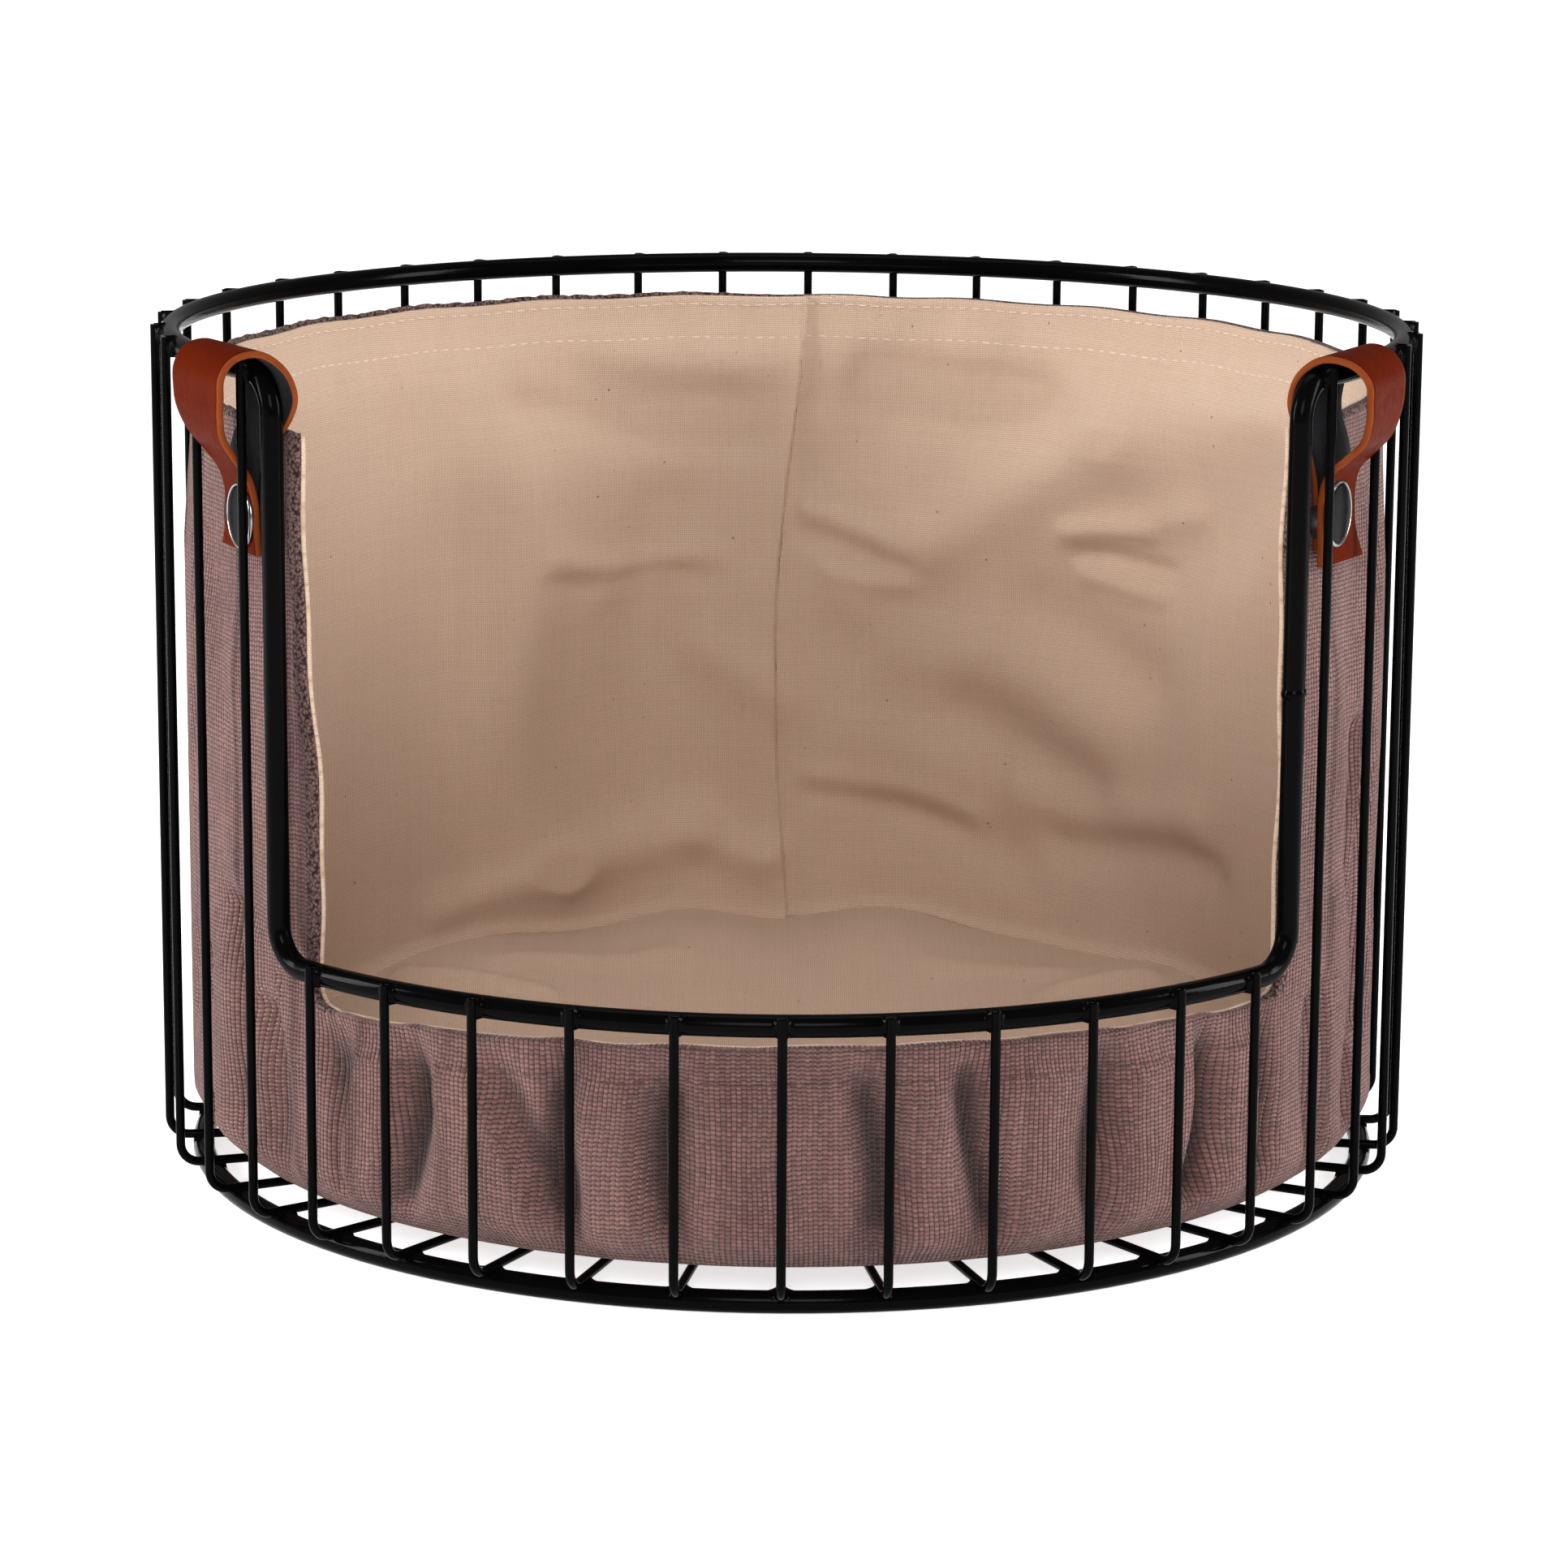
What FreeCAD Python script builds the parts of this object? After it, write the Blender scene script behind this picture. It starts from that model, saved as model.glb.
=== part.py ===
"""A round wire storage bin with a drop front and a lift-out fabric liner.

The frame is one bent rim wire, a base ring, a small hub ring and forty thin ribs, all welded.
A two-layer fabric liner stands on the rib ends inside it.  Two leather straps, whose roots lie
in the liner's outer layer, pass over the rim and snap shut on the liner between two ribs.

+Z is up.  The origin is the centre of the base ring, on the plane that the bin stands on.  The
drop front faces -Y.  An azimuth is counted in degrees from the front, towards +X.
"""
import FreeCAD, Part
import math
import os

Vector = FreeCAD.Vector
Rotation = FreeCAD.Rotation
Placement = FreeCAD.Placement
X_AXIS = Vector(1, 0, 0)
Y_AXIS = Vector(0, 1, 0)
Z_AXIS = Vector(0, 0, 1)

# Every driving dimension, in millimetres or degrees.  A height is counted from the floor.
SIZES = {
    "heavy_radius": 2.5,         # rim, base ring and hub ring wire
    "light_radius": 1.05,        # rib wire
    "rim_radius": 142.5,         # centre line of the rim
    "rim_height": 194.9,         # centre line of the rim round the back
    "front_height": 64.5,        # centre line of the rim across the drop front
    "rim_bend": 9.0,             # the rim's four corners
    "opening_angle": 51.0,       # half of the drop front
    "ring_radius": 138.0,        # base ring
    "hub_radius": 40.0,          # hub ring
    "rib_count": 40,
    "rib_drift": 3.8,            # how far the ribs have crept round at the back left
    "rib_radius": 145.8,         # centre line of the upright ribs, outside the rim
    "rib_bend": 4.5,
    "rib_overrun": 2.2,          # rib tip above the centre line of the wire it is welded to
    "spoke_height": 5.1,         # rib centre line across the rings, sunk in by the welds
    "spoke_overrun": 3.5,        # spoke end inside the hub ring's centre line
    "liner_radius": 137.8,       # outer face of the liner
    "outer_cloth": 1.5,
    "lining_cloth": 1.1,
    "liner_base": 6.5,
    "liner_height": 187.0,       # top hem round the back
    "liner_front": 58.0,         # top hem across the drop front
    "cutout_angle": 50.9,        # half of the liner's drop front
    "strap_azimuth": 58.5,       # midway between two ribs, on each side
    "strap_width": 28.0,
    "leather": 1.5,
    "strap_top": 199.6,          # upper face of the leather over the rim
    "root_base": 152.0,          # lower end of the leather root on the liner
    "strap_outside": 150.0,      # centre line of the outer leg
    "strap_inside": 141.5,       # centre line of the tail, between ribs and liner
    "strap_corner": 4.5,
    "strap_leg": 185.0,          # the outer leg starts to turn in here
    "strap_turn": 50.0,
    "turn_radius": 6.0,
    "tail_end": 152.5,
    "tail_width": 18.8,
    "waist_width": 15.6,
    "waist_height": 170.0,
    "shoulder_height": 187.5,
    "gap_height": 181.5,         # the leather is as narrow as the tail from here down
    "snap_height": 162.2,
    "cap_radius": 7.5,
    "cap_dome": 0.9,
    "cap_rim": 0.9,
    "shank_radius": 1.6,
    "socket_radius": 5.8,
    "socket_depth": 2.3,
    "stud_radius": 3.2,
    "stud_length": 1.7,
    "stud_flange_radius": 5.4,
    "stud_flange": 0.6,
    "snap_play": 0.3,
    "drill_margin": 5.0,         # how far the tool of a hole reaches past the cloth
}

# The regular rib pitch holds round the front.  The ribs close up from the first of these
# azimuths to the second, and open out again from the second to the third.
DRIFT_ZONE = (99, 243, 297)

doc = FreeCAD.newDocument("storage_bin")
sheet = doc.addObject("Spreadsheet::Sheet", "sizes")
for row, (alias, value) in enumerate(SIZES.items(), start=1):
    sheet.set("A%d" % row, alias)
    sheet.set("B%d" % row, str(value))
    sheet.setAlias("B%d" % row, alias)
doc.recompute()

nodes = []


def size(alias):
    """The value of one cell of the sheet."""
    return float(sheet.get(alias))


def bind(item, **expressions):
    """Bind properties to the sheet, where $rim_radius stands for the cell of that name."""
    for name, expression in expressions.items():
        for alias in sorted(SIZES, key=len, reverse=True):
            expression = expression.replace("$" + alias, "sizes." + alias)
        item.setExpression(name, expression)


def node(item, label):
    """Take an object as a finished sub-part under its own name."""
    item.Label = label
    nodes.append(item)
    return item


def around(azimuth, radius=0.0, height=0.0, rotation=Rotation()):
    """A placement given in the frame of one azimuth: +X is outward there and +Y goes round."""
    turn = Placement(Vector(), Rotation(Z_AXIS, azimuth - 90))
    return turn.multiply(Placement(Vector(radius, 0, height), rotation))


def axes(along_x, along_y):
    """The rotation that takes X and Y to two given directions."""
    return Rotation(along_x, along_y, along_x.cross(along_y), "XYZ")


def cylinder(name, radius, length, placement):
    item = doc.addObject("Part::Cylinder", name)
    bind(item, Radius=radius, Height=length)
    item.Placement = placement
    return item


def torus(name, radius, wire, angle, placement):
    item = doc.addObject("Part::Torus", name)
    bind(item, Radius1=radius, Radius2=wire, Angle3=angle)
    item.Placement = placement
    return item


def joined(name, shapes):
    item = doc.addObject("Part::MultiFuse", name)
    item.Shapes = shapes
    return item


def cut(name, base, tools):
    """The base with every tool taken out of it."""
    group = doc.addObject("Part::Compound", name + "_tools")
    group.Links = tools
    item = doc.addObject("Part::Cut", name)
    item.Base = base
    item.Tool = group
    return item


# ---------------------------------------------------------------- frame

def corner(name, azimuth, height, start, end):
    """A quarter bend of the rim, from one direction off its centre to the other."""
    place = around(azimuth, size("rim_radius"), height, axes(start, end))
    return torus(name, "$rim_bend", "$heavy_radius", "90", place)


def rim_wire():
    """One closed wire: round the back, down both sides of the drop front and across it."""
    bend = size("rim_bend")
    step = math.degrees(math.atan(bend / size("rim_radius")))
    upper = size("opening_angle") + step
    lower = size("opening_angle") - step
    post_radius = math.hypot(size("rim_radius"), bend)
    reach = "atan($rim_bend / $rim_radius)"
    pieces = [
        torus("rim_back", "$rim_radius", "$heavy_radius",
              "360 deg - 2 * ($opening_angle * 1 deg + %s)" % reach,
              around(upper, 0, size("rim_height"))),
        torus("rim_front", "$rim_radius", "$heavy_radius",
              "2 * ($opening_angle * 1 deg - %s)" % reach,
              around(-lower, 0, size("front_height"))),
    ]
    for side, name in ((1, "right"), (-1, "left")):
        across = Y_AXIS * side
        pieces += [
            cylinder("rim_post_" + name, "$heavy_radius",
                     "$rim_height - $front_height - 2 * $rim_bend",
                     around(side * size("opening_angle"), post_radius,
                            size("front_height") + bend)),
            corner("rim_top_corner_" + name, side * upper, size("rim_height") - bend,
                   across * -1, Z_AXIS),
            corner("rim_low_corner_" + name, side * lower, size("front_height") + bend,
                   across, Z_AXIS * -1),
        ]
    node(joined("rim", pieces), "rim_wire")


def rings():
    """The base ring that the bin stands on, and the hub ring that ties the spoke ends."""
    for name, radius in (("base_ring", "$ring_radius"), ("hub_ring", "$hub_radius")):
        halves = [torus("%s_half_%d" % (name, start), radius, "$heavy_radius", "180",
                        around(start, 0, size("heavy_radius")))
                  for start in (0, 180)]
        node(joined(name + "_wire", halves), name)


def rib_azimuth(index):
    """The azimuth of a rib, with the slow creep of the hand-set ribs round the back."""
    even = index * 360 / size("rib_count")
    start, peak, end = DRIFT_ZONE
    if even <= start or even >= end:
        return even
    share = (even - start) / (peak - start) if even < peak else (end - even) / (end - peak)
    return even - size("rib_drift") * share


def rib(index):
    """One thin wire: upright outside the rim, bent in over the base ring, on to the hub."""
    azimuth = rib_azimuth(index)
    beside_front = min(azimuth, 360 - azimuth) < size("opening_angle")
    top = "$front_height" if beside_front else "$rim_height"
    name = "rib_%02d" % index
    upright = cylinder(name + "_upright", "$light_radius",
                       top + " + $rib_overrun - $spoke_height - $rib_bend",
                       Placement(Vector(size("rib_radius"), 0,
                                        size("spoke_height") + size("rib_bend")), Rotation()))
    centre = Vector(size("rib_radius") - size("rib_bend"), 0,
                    size("spoke_height") + size("rib_bend"))
    bend = torus(name + "_bend", "$rib_bend", "$light_radius", "90",
                 Placement(centre, axes(X_AXIS, Z_AXIS * -1)))
    foot = Vector(centre.x, 0, size("spoke_height"))
    spoke = cylinder(name + "_spoke", "$light_radius",
                     "$rib_radius - $rib_bend - $hub_radius + $spoke_overrun",
                     Placement(foot, Rotation(Y_AXIS, -90)))
    whole = joined(name + "_wire", [upright, bend, spoke])
    whole.Placement = around(azimuth)
    node(whole, name)


# ---------------------------------------------------------------- liner

def drop_front(name):
    """The sector that is left out of the liner above its front hem."""
    item = cylinder(name, "$rim_radius", "$liner_height",
                    around(-size("cutout_angle"), 0, size("liner_front")))
    bind(item, Angle="2 * $cutout_angle")
    return item


def cloth_wall(name, label, outside, thickness, base, tools):
    """One upright layer of the liner, open at the drop front."""
    height = "$liner_height - (%s)" % base
    full = cylinder(name + "_full", outside, height, Placement())
    hollow = cylinder(name + "_hollow", "%s - %s" % (outside, thickness), height, Placement())
    for item in (full, hollow):
        bind(item, **{"Placement.Base.z": base})
    wall = cut(name, full, [hollow, drop_front(name + "_front")] + tools(name))
    node(wall, label)


def cloth_floor(name, label, radius, thickness, base):
    item = cylinder(name, radius, thickness, Placement())
    bind(item, **{"Placement.Base.z": base})
    node(item, label)


def shank_holes(name):
    """The two holes that the snap posts pass through."""
    return [shank_hole("%s_hole_%s" % (name, side), azimuth, size("liner_radius"))
            for side, azimuth in sides()]


def outer_wall_tools(name):
    """The snap holes, and the two windows that the leather roots fill."""
    windows = []
    for side, azimuth in sides():
        window = doc.addObject("Part::Box", "%s_window_%s" % (name, side))
        bind(window, Length="2 * $drill_margin", Width="$strap_width",
             Height="$liner_height - $root_base")
        corner_place = Placement(Vector(size("liner_radius") - size("drill_margin"),
                                        -size("strap_width") / 2, size("root_base")), Rotation())
        window.Placement = around(azimuth).multiply(corner_place)
        windows.append(window)
    return shank_holes(name) + windows


def liner():
    """An outer layer and a lining, each a wall and a floor disc sewn to it."""
    lining = "$liner_radius - $outer_cloth"
    lining_base = "$liner_base + $outer_cloth"
    cloth_wall("outer", "liner_outer_wall", "$liner_radius", "$outer_cloth", "$liner_base",
               outer_wall_tools)
    cloth_wall("inner", "lining_wall", lining, "$lining_cloth", lining_base, shank_holes)
    cloth_floor("outer_disc", "liner_outer_floor", lining, "$outer_cloth", "$liner_base")
    cloth_floor("inner_disc", "lining_floor", lining + " - $lining_cloth", "$lining_cloth",
                lining_base)


# ---------------------------------------------------------------- straps

def sides():
    """The two straps, by name and azimuth."""
    return (("left", -size("strap_azimuth")), ("right", size("strap_azimuth")))


def offset_point(point, heading, distance):
    """A point to the left of a path, seen along its heading."""
    return Vector(point.x - math.sin(heading) * distance, point.y + math.cos(heading) * distance)


def band_outline(start, heading, steps):
    """The closed outline of a leather band of even thickness along a path.

    The path starts at a point with a heading in degrees.  A step is ("line", length) or
    ("arc", radius, turn), where a positive turn goes left.
    """
    half = size("leather") / 2
    point = start
    heading = math.radians(heading)
    left, right = [], []
    for kind, amount, *turn in steps:
        if kind == "line":
            after = point + Vector(math.cos(heading), math.sin(heading)) * amount
            later = heading
            for edges, distance in ((left, half), (right, -half)):
                edges.append(Part.LineSegment(offset_point(point, heading, distance),
                                              offset_point(after, heading, distance)))
        else:
            swing = math.radians(turn[0])
            way = math.copysign(1, swing)
            centre = offset_point(point, heading, way * amount)
            later = heading + swing
            after = offset_point(centre, later, -way * amount)
            middle = heading + swing / 2
            for edges, distance in ((left, half), (right, -half)):
                reach = -way * amount + distance
                edges.append(Part.Arc(*[offset_point(centre, bearing, reach)
                                        for bearing in (heading, middle, later)]))
        point, heading = after, later
    caps = [Part.LineSegment(left[0].StartPoint, right[0].StartPoint),
            Part.LineSegment(left[-1].EndPoint, right[-1].EndPoint)]
    return left + right + caps


def extruded(name, outline, placement, length, symmetric):
    """A closed outline in its own plane, pulled along the plane's normal."""
    sketch = doc.addObject("Sketcher::SketchObject", name + "_sketch")
    sketch.addGeometry(outline)
    sketch.Placement = placement
    item = doc.addObject("Part::Extrusion", name)
    item.Base = sketch
    item.DirMode = "Normal"
    item.Solid = True
    item.Symmetric = symmetric
    bind(item, LengthFwd=length)
    return item


def across_strap(azimuth):
    """The upright plane through the middle of a strap, X outward and Y up."""
    return around(azimuth, 0, 0, axes(X_AXIS, Z_AXIS))


def strap_root(side, azimuth):
    """The half of the strap from its root on the liner, up and over to the middle of the rim."""
    middle = size("liner_radius") - size("leather") / 2
    arch = size("rim_radius") - middle
    top = size("strap_top") - size("leather") / 2
    steps = [("line", top - arch - size("root_base")), ("arc", arch, -90)]
    outline = band_outline(Vector(middle, size("root_base")), 90, steps)
    band = extruded("root_band_" + side, outline, across_strap(azimuth), "$strap_width", True)
    hole = shank_hole("root_hole_" + side, azimuth, size("liner_radius"))
    node(cut("root_" + side, band, [hole]), "strap_root_" + side)


def tail_side_outline():
    """The tail seen from outside: wide over the rim, narrow between the ribs, flared below."""
    points = [(size("strap_width"), size("strap_top")),
              (size("strap_width"), size("shoulder_height")),
              (size("tail_width"), size("gap_height")),
              (size("waist_width"), size("waist_height")),
              (size("tail_width"), size("tail_end") + size("leather")),
              (size("tail_width") - 2 * size("leather"), size("tail_end"))]
    right = [Vector(width / 2, height) for width, height in points]
    left = [Vector(-spot.x, spot.y) for spot in reversed(right)]
    loop = right + left
    return [Part.LineSegment(here, there) for here, there in zip(loop, loop[1:] + loop[:1])]


def strap_tail(side, azimuth):
    """The half from the middle of the rim, down outside it and in between two ribs."""
    radius = size("turn_radius")
    turn = size("strap_turn")
    angle = math.radians(turn)
    corner_radius = size("strap_corner")
    top = size("strap_top") - size("leather") / 2
    inward = size("strap_outside") - size("strap_inside") - 2 * radius * (1 - math.cos(angle))
    slant = inward / math.sin(angle)
    s_height = 2 * radius * math.sin(angle) + slant * math.cos(angle)
    steps = [
        ("line", size("strap_outside") - corner_radius - size("rim_radius")),
        ("arc", corner_radius, -90),
        ("line", top - corner_radius - size("strap_leg")),
        ("arc", radius, -turn),
        ("line", slant),
        ("arc", radius, turn),
        ("line", size("strap_leg") - s_height - size("tail_end")),
    ]
    outline = band_outline(Vector(size("rim_radius"), top), 0, steps)
    band = extruded("tail_band_" + side, outline, across_strap(azimuth), "$strap_width", True)
    inside = size("rim_radius") - size("strap_corner") * 2
    plane = around(azimuth, inside, 0, axes(Y_AXIS, Z_AXIS))
    shape = extruded("tail_shape_" + side, tail_side_outline(), plane,
                     "2 * ($strap_outside - $rim_radius) + 2 * $strap_corner", False)
    trimmed = doc.addObject("Part::Common", "tail_trimmed_" + side)
    trimmed.Base = band
    trimmed.Tool = shape
    hole = shank_hole("tail_hole_" + side, azimuth, size("strap_inside"))
    node(cut("tail_" + side, trimmed, [hole]), "strap_tail_" + side)


# ---------------------------------------------------------------- snap fasteners

def snap_disc(name, azimuth, radius, length, start):
    """A round piece on the axis of a snap, from one radius outward."""
    place = around(azimuth, start, size("snap_height"), Rotation(Y_AXIS, 90))
    return cylinder(name, radius, length, place)


def shank_hole(name, azimuth, radius):
    """The tool for a snap's shank, through the material at one radius."""
    return snap_disc(name, azimuth, "$shank_radius", "2 * $drill_margin",
                     radius - size("drill_margin"))


def snap_cap(side, azimuth):
    """A domed cap on the outer face of the tail, with the shank that holds the socket."""
    face = size("strap_inside") + size("leather") / 2
    height = size("cap_dome") + size("cap_rim")
    disc = snap_disc("cap_disc_" + side, azimuth, "$cap_radius", "$cap_dome + $cap_rim", face)
    dome_radius = (size("cap_radius") ** 2 + size("cap_dome") ** 2) / (2 * size("cap_dome"))
    ball = doc.addObject("Part::Sphere", "cap_ball_" + side)
    bind(ball, Radius="($cap_radius * $cap_radius + $cap_dome * $cap_dome) / (2 * $cap_dome)")
    ball.Placement = around(azimuth, face + height - dome_radius, size("snap_height"))
    dome = doc.addObject("Part::Common", "cap_dome_" + side)
    dome.Base = disc
    dome.Tool = ball
    shank = snap_disc("cap_shank_" + side, azimuth, "$shank_radius", "$leather",
                      face - size("leather"))
    node(joined("cap_" + side, [dome, shank]), "snap_cap_" + side)


def snap_socket(side, azimuth):
    """The cup on the inner face of the tail, open towards the liner."""
    face = size("strap_inside") - size("leather") / 2
    body = snap_disc("socket_body_" + side, azimuth, "$socket_radius", "$socket_depth",
                     face - size("socket_depth"))
    cup = snap_disc("socket_cup_" + side, azimuth, "$stud_radius + $snap_play",
                    "$stud_length + $snap_play", face - size("socket_depth"))
    node(cut("socket_" + side, body, [cup]), "snap_socket_" + side)


def snap_stud(side, azimuth):
    """The flanged stud on the outer face of the liner."""
    face = size("liner_radius")
    flange = snap_disc("stud_flange_" + side, azimuth, "$stud_flange_radius", "$stud_flange",
                       face)
    head = snap_disc("stud_head_" + side, azimuth, "$stud_radius", "$stud_length",
                     face + size("stud_flange"))
    node(joined("stud_" + side, [flange, head]), "snap_stud_" + side)


def snap_post(side, azimuth):
    """The washer inside the lining, with the shank that the stud is set on."""
    lining = size("liner_radius") - size("outer_cloth") - size("lining_cloth")
    washer_face = math.sqrt(lining ** 2 - size("stud_flange_radius") ** 2)
    washer = snap_disc("post_washer_" + side, azimuth, "$stud_flange_radius", "$stud_flange",
                       washer_face - size("stud_flange"))
    shank = snap_disc("post_shank_" + side, azimuth, "$shank_radius",
                      "$liner_radius - %r" % (washer_face - size("stud_flange")),
                      washer_face - size("stud_flange"))
    node(joined("post_" + side, [washer, shank]), "snap_post_" + side)


def straps():
    for side, azimuth in sides():
        strap_root(side, azimuth)
        strap_tail(side, azimuth)
        snap_cap(side, azimuth)
        snap_socket(side, azimuth)
        snap_stud(side, azimuth)
        snap_post(side, azimuth)


def build():
    rim_wire()
    rings()
    for index in range(int(size("rib_count"))):
        rib(index)
    liner()
    straps()
    doc.recompute()


def check():
    """Stop if any object failed or any sub-part isn't one good solid."""
    for item in doc.Objects:
        if {"Invalid", "Error"} & set(item.State):
            raise RuntimeError("%s failed: %s" % (item.Name, item.State))
    for item in nodes:
        shape = item.Shape
        if shape.isNull() or not shape.isValid() or len(shape.Solids) != 1:
            raise RuntimeError("%s isn't one valid solid" % item.Label)


def export():
    os.makedirs("parts", exist_ok=True)
    for item in nodes:
        item.Shape.exportStep("parts/%s.step" % item.Label)
        print("%-20s %10.1f mm3" % (item.Label, item.Shape.Volume))


build()
check()
export()
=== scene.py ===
import math

import bpy
import numpy as np
from mathutils import Matrix, Vector


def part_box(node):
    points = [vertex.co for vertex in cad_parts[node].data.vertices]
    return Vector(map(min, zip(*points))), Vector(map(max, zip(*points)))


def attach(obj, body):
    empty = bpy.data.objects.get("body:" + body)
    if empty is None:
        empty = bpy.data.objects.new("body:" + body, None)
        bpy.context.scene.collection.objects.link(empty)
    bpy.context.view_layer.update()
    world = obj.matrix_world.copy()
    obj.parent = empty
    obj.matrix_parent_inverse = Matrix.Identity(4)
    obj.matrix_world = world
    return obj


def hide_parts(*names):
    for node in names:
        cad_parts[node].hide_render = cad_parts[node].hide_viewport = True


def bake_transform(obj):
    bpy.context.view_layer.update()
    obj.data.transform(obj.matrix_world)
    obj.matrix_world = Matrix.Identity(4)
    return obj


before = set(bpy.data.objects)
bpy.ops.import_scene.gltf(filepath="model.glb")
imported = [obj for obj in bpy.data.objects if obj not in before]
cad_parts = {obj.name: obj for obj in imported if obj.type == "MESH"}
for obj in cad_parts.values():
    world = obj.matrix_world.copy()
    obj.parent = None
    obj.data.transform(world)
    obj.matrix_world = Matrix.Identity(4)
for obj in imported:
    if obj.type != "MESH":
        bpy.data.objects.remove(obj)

# A round wire bin with a lift-out fabric liner.  An azimuth is counted in degrees from the drop
# front, which faces -Y, towards +X.  Lengths are in metres.
MM = 0.001
scene = bpy.context.scene
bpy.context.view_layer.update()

# ---------------- sizes, from the frame

HEAVY = (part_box("base_ring")[1].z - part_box("base_ring")[0].z) / 2  # rim and ring wire
LIGHT = (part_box("rib_00")[1].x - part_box("rib_00")[0].x) / 2  # rib wire
RIM_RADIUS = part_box("rim_wire")[1].x - HEAVY
RIM_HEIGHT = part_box("rim_wire")[1].z - HEAVY
FRONT_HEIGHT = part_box("rib_00")[1].z - 2.2 * MM  # rim across the front
RING_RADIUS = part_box("base_ring")[1].x - HEAVY
HUB_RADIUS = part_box("hub_ring")[1].x - HEAVY
RIB_RADIUS = -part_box("rib_00")[0].y - LIGHT
SPOKE_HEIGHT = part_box("rib_00")[0].z + LIGHT
OPENING = 51.0  # half of the rim's drop front, in degrees
RIM_BEND = 9 * MM

LINER_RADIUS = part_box("liner_outer_wall")[1].x
LINER_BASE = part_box("liner_outer_wall")[0].z
LINER_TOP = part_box("liner_outer_wall")[1].z
OUTER_CLOTH = 1.5 * MM
LINING_CLOTH = 1.1 * MM
HEM_SEAM = LINER_RADIUS - OUTER_CLOTH  # where the layers meet
CUT_LEFT, CUT_RIGHT = -48.4, 53.2  # edges of the liner's drop front
CUT_ROUNDING = 6 * MM  # of the two corners at the bottom of the drop front
OUTER_CORNER = 13 * MM  # roundness of the liner's bottom edge
BAND_HEIGHT = 58 * MM  # where the wall's upper band of quads starts at the back

STRAP_AZIMUTH = 58.5
LEATHER = 1.5 * MM
SNAP_HEIGHT = (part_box("snap_cap_left")[0].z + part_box("snap_cap_left")[1].z) / 2
SNAP_RADIUS = 141.5 * MM + LEATHER / 2  # the strap's face under the cap
STRAPS = (("left", -1), ("right", 1))


def polar(azimuth, radius, height):
    """Points at azimuths, radii and heights."""
    turn = np.radians(azimuth)
    x, y = radius * np.sin(turn), -radius * np.cos(turn)
    return np.stack(np.broadcast_arrays(x, y, height), axis=-1)


def directions(turn):
    """Unit vectors outward, and sideways towards a growing azimuth, at an angle in radians."""
    return (np.array([math.sin(turn), -math.cos(turn), 0]),
            np.array([math.cos(turn), math.sin(turn), 0]))


def smooth(low, high, value):
    """0 below low, 1 above high and a smooth rise between them."""
    share = np.clip((value - low) / (high - low), 0, 1)
    return share * share * (3 - 2 * share)


def around_to(azimuth, centre):
    """The signed angle from a centre, -180 to 180."""
    return (azimuth - centre + 180) % 360 - 180


def from_front(azimuth):
    """The angle from the drop front, 0 to 180, whichever way round."""
    return np.abs(around_to(azimuth, 0))


# ---------------- meshes

def add(name, data):
    """An object in the scene."""
    item = bpy.data.objects.new(name, data)
    scene.collection.objects.link(item)
    return item


def new_piece(name, points, faces, materials, uvs=None, period=None, indexes=None):
    """A smooth-shaded mesh object.  uvs holds one pair for each point, in metres.  Where u runs
    round the object, period is the length of one turn."""
    mesh = bpy.data.meshes.new(name)
    mesh.from_pydata([tuple(p) for p in np.asarray(points, float)], [],
                     [tuple(int(i) for i in f) for f in faces])
    for material in materials:
        mesh.materials.append(material)
    mesh.polygons.foreach_set("use_smooth", np.ones(len(mesh.polygons), bool))
    if indexes is not None:
        mesh.polygons.foreach_set("material_index", np.asarray(indexes, np.int32))
    if uvs is not None:
        corners = np.zeros(len(mesh.loops), np.int32)
        mesh.loops.foreach_get("vertex_index", corners)
        flat = np.asarray(uvs, float)[corners]
        if period:
            starts = np.zeros(len(mesh.polygons), np.int32)
            counts = np.zeros(len(mesh.polygons), np.int32)
            mesh.polygons.foreach_get("loop_start", starts)
            mesh.polygons.foreach_get("loop_total", counts)
            first = np.repeat(flat[starts, 0], counts)
            flat[:, 0] = first + (flat[:, 0] - first + period / 2) % period - period / 2
        layer = mesh.uv_layers.new(name="UVMap")
        layer.data.foreach_set("uv", flat.astype(np.float32).ravel())
    mesh.update()
    return add(name, mesh)


def grid_faces(rows, columns, start=0, closed=False):
    """Quads of a grid whose points are numbered row by row.  closed joins the last column to the
    first."""
    row = np.arange(rows - 1)[:, None]
    column = np.arange(columns if closed else columns - 1)[None, :]
    after = (column + 1) % columns
    corners = [row * columns + column, row * columns + after,
               (row + 1) * columns + after, (row + 1) * columns + column]
    return np.stack([np.broadcast_to(c, (rows - 1, column.shape[1])) for c in corners],
                    axis=-1).reshape(-1, 4) + start


def joined_grids(grids, rows, columns, closed=False):
    """Points and quads of several grids of the same size."""
    points = np.concatenate([g.reshape(-1, 3) for g in grids])
    faces = np.concatenate([grid_faces(rows, columns, i * rows * columns, closed)
                            for i in range(len(grids))])
    return points, faces


def thicken(item, thickness, offset):
    """Give a sheet its thickness.  offset -1 keeps the modelled face as the front face."""
    shell = item.modifiers.new("cloth_thickness", "SOLIDIFY")
    shell.thickness = thickness
    shell.offset = offset
    shell.use_even_offset = True


# ---------------- materials

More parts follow.
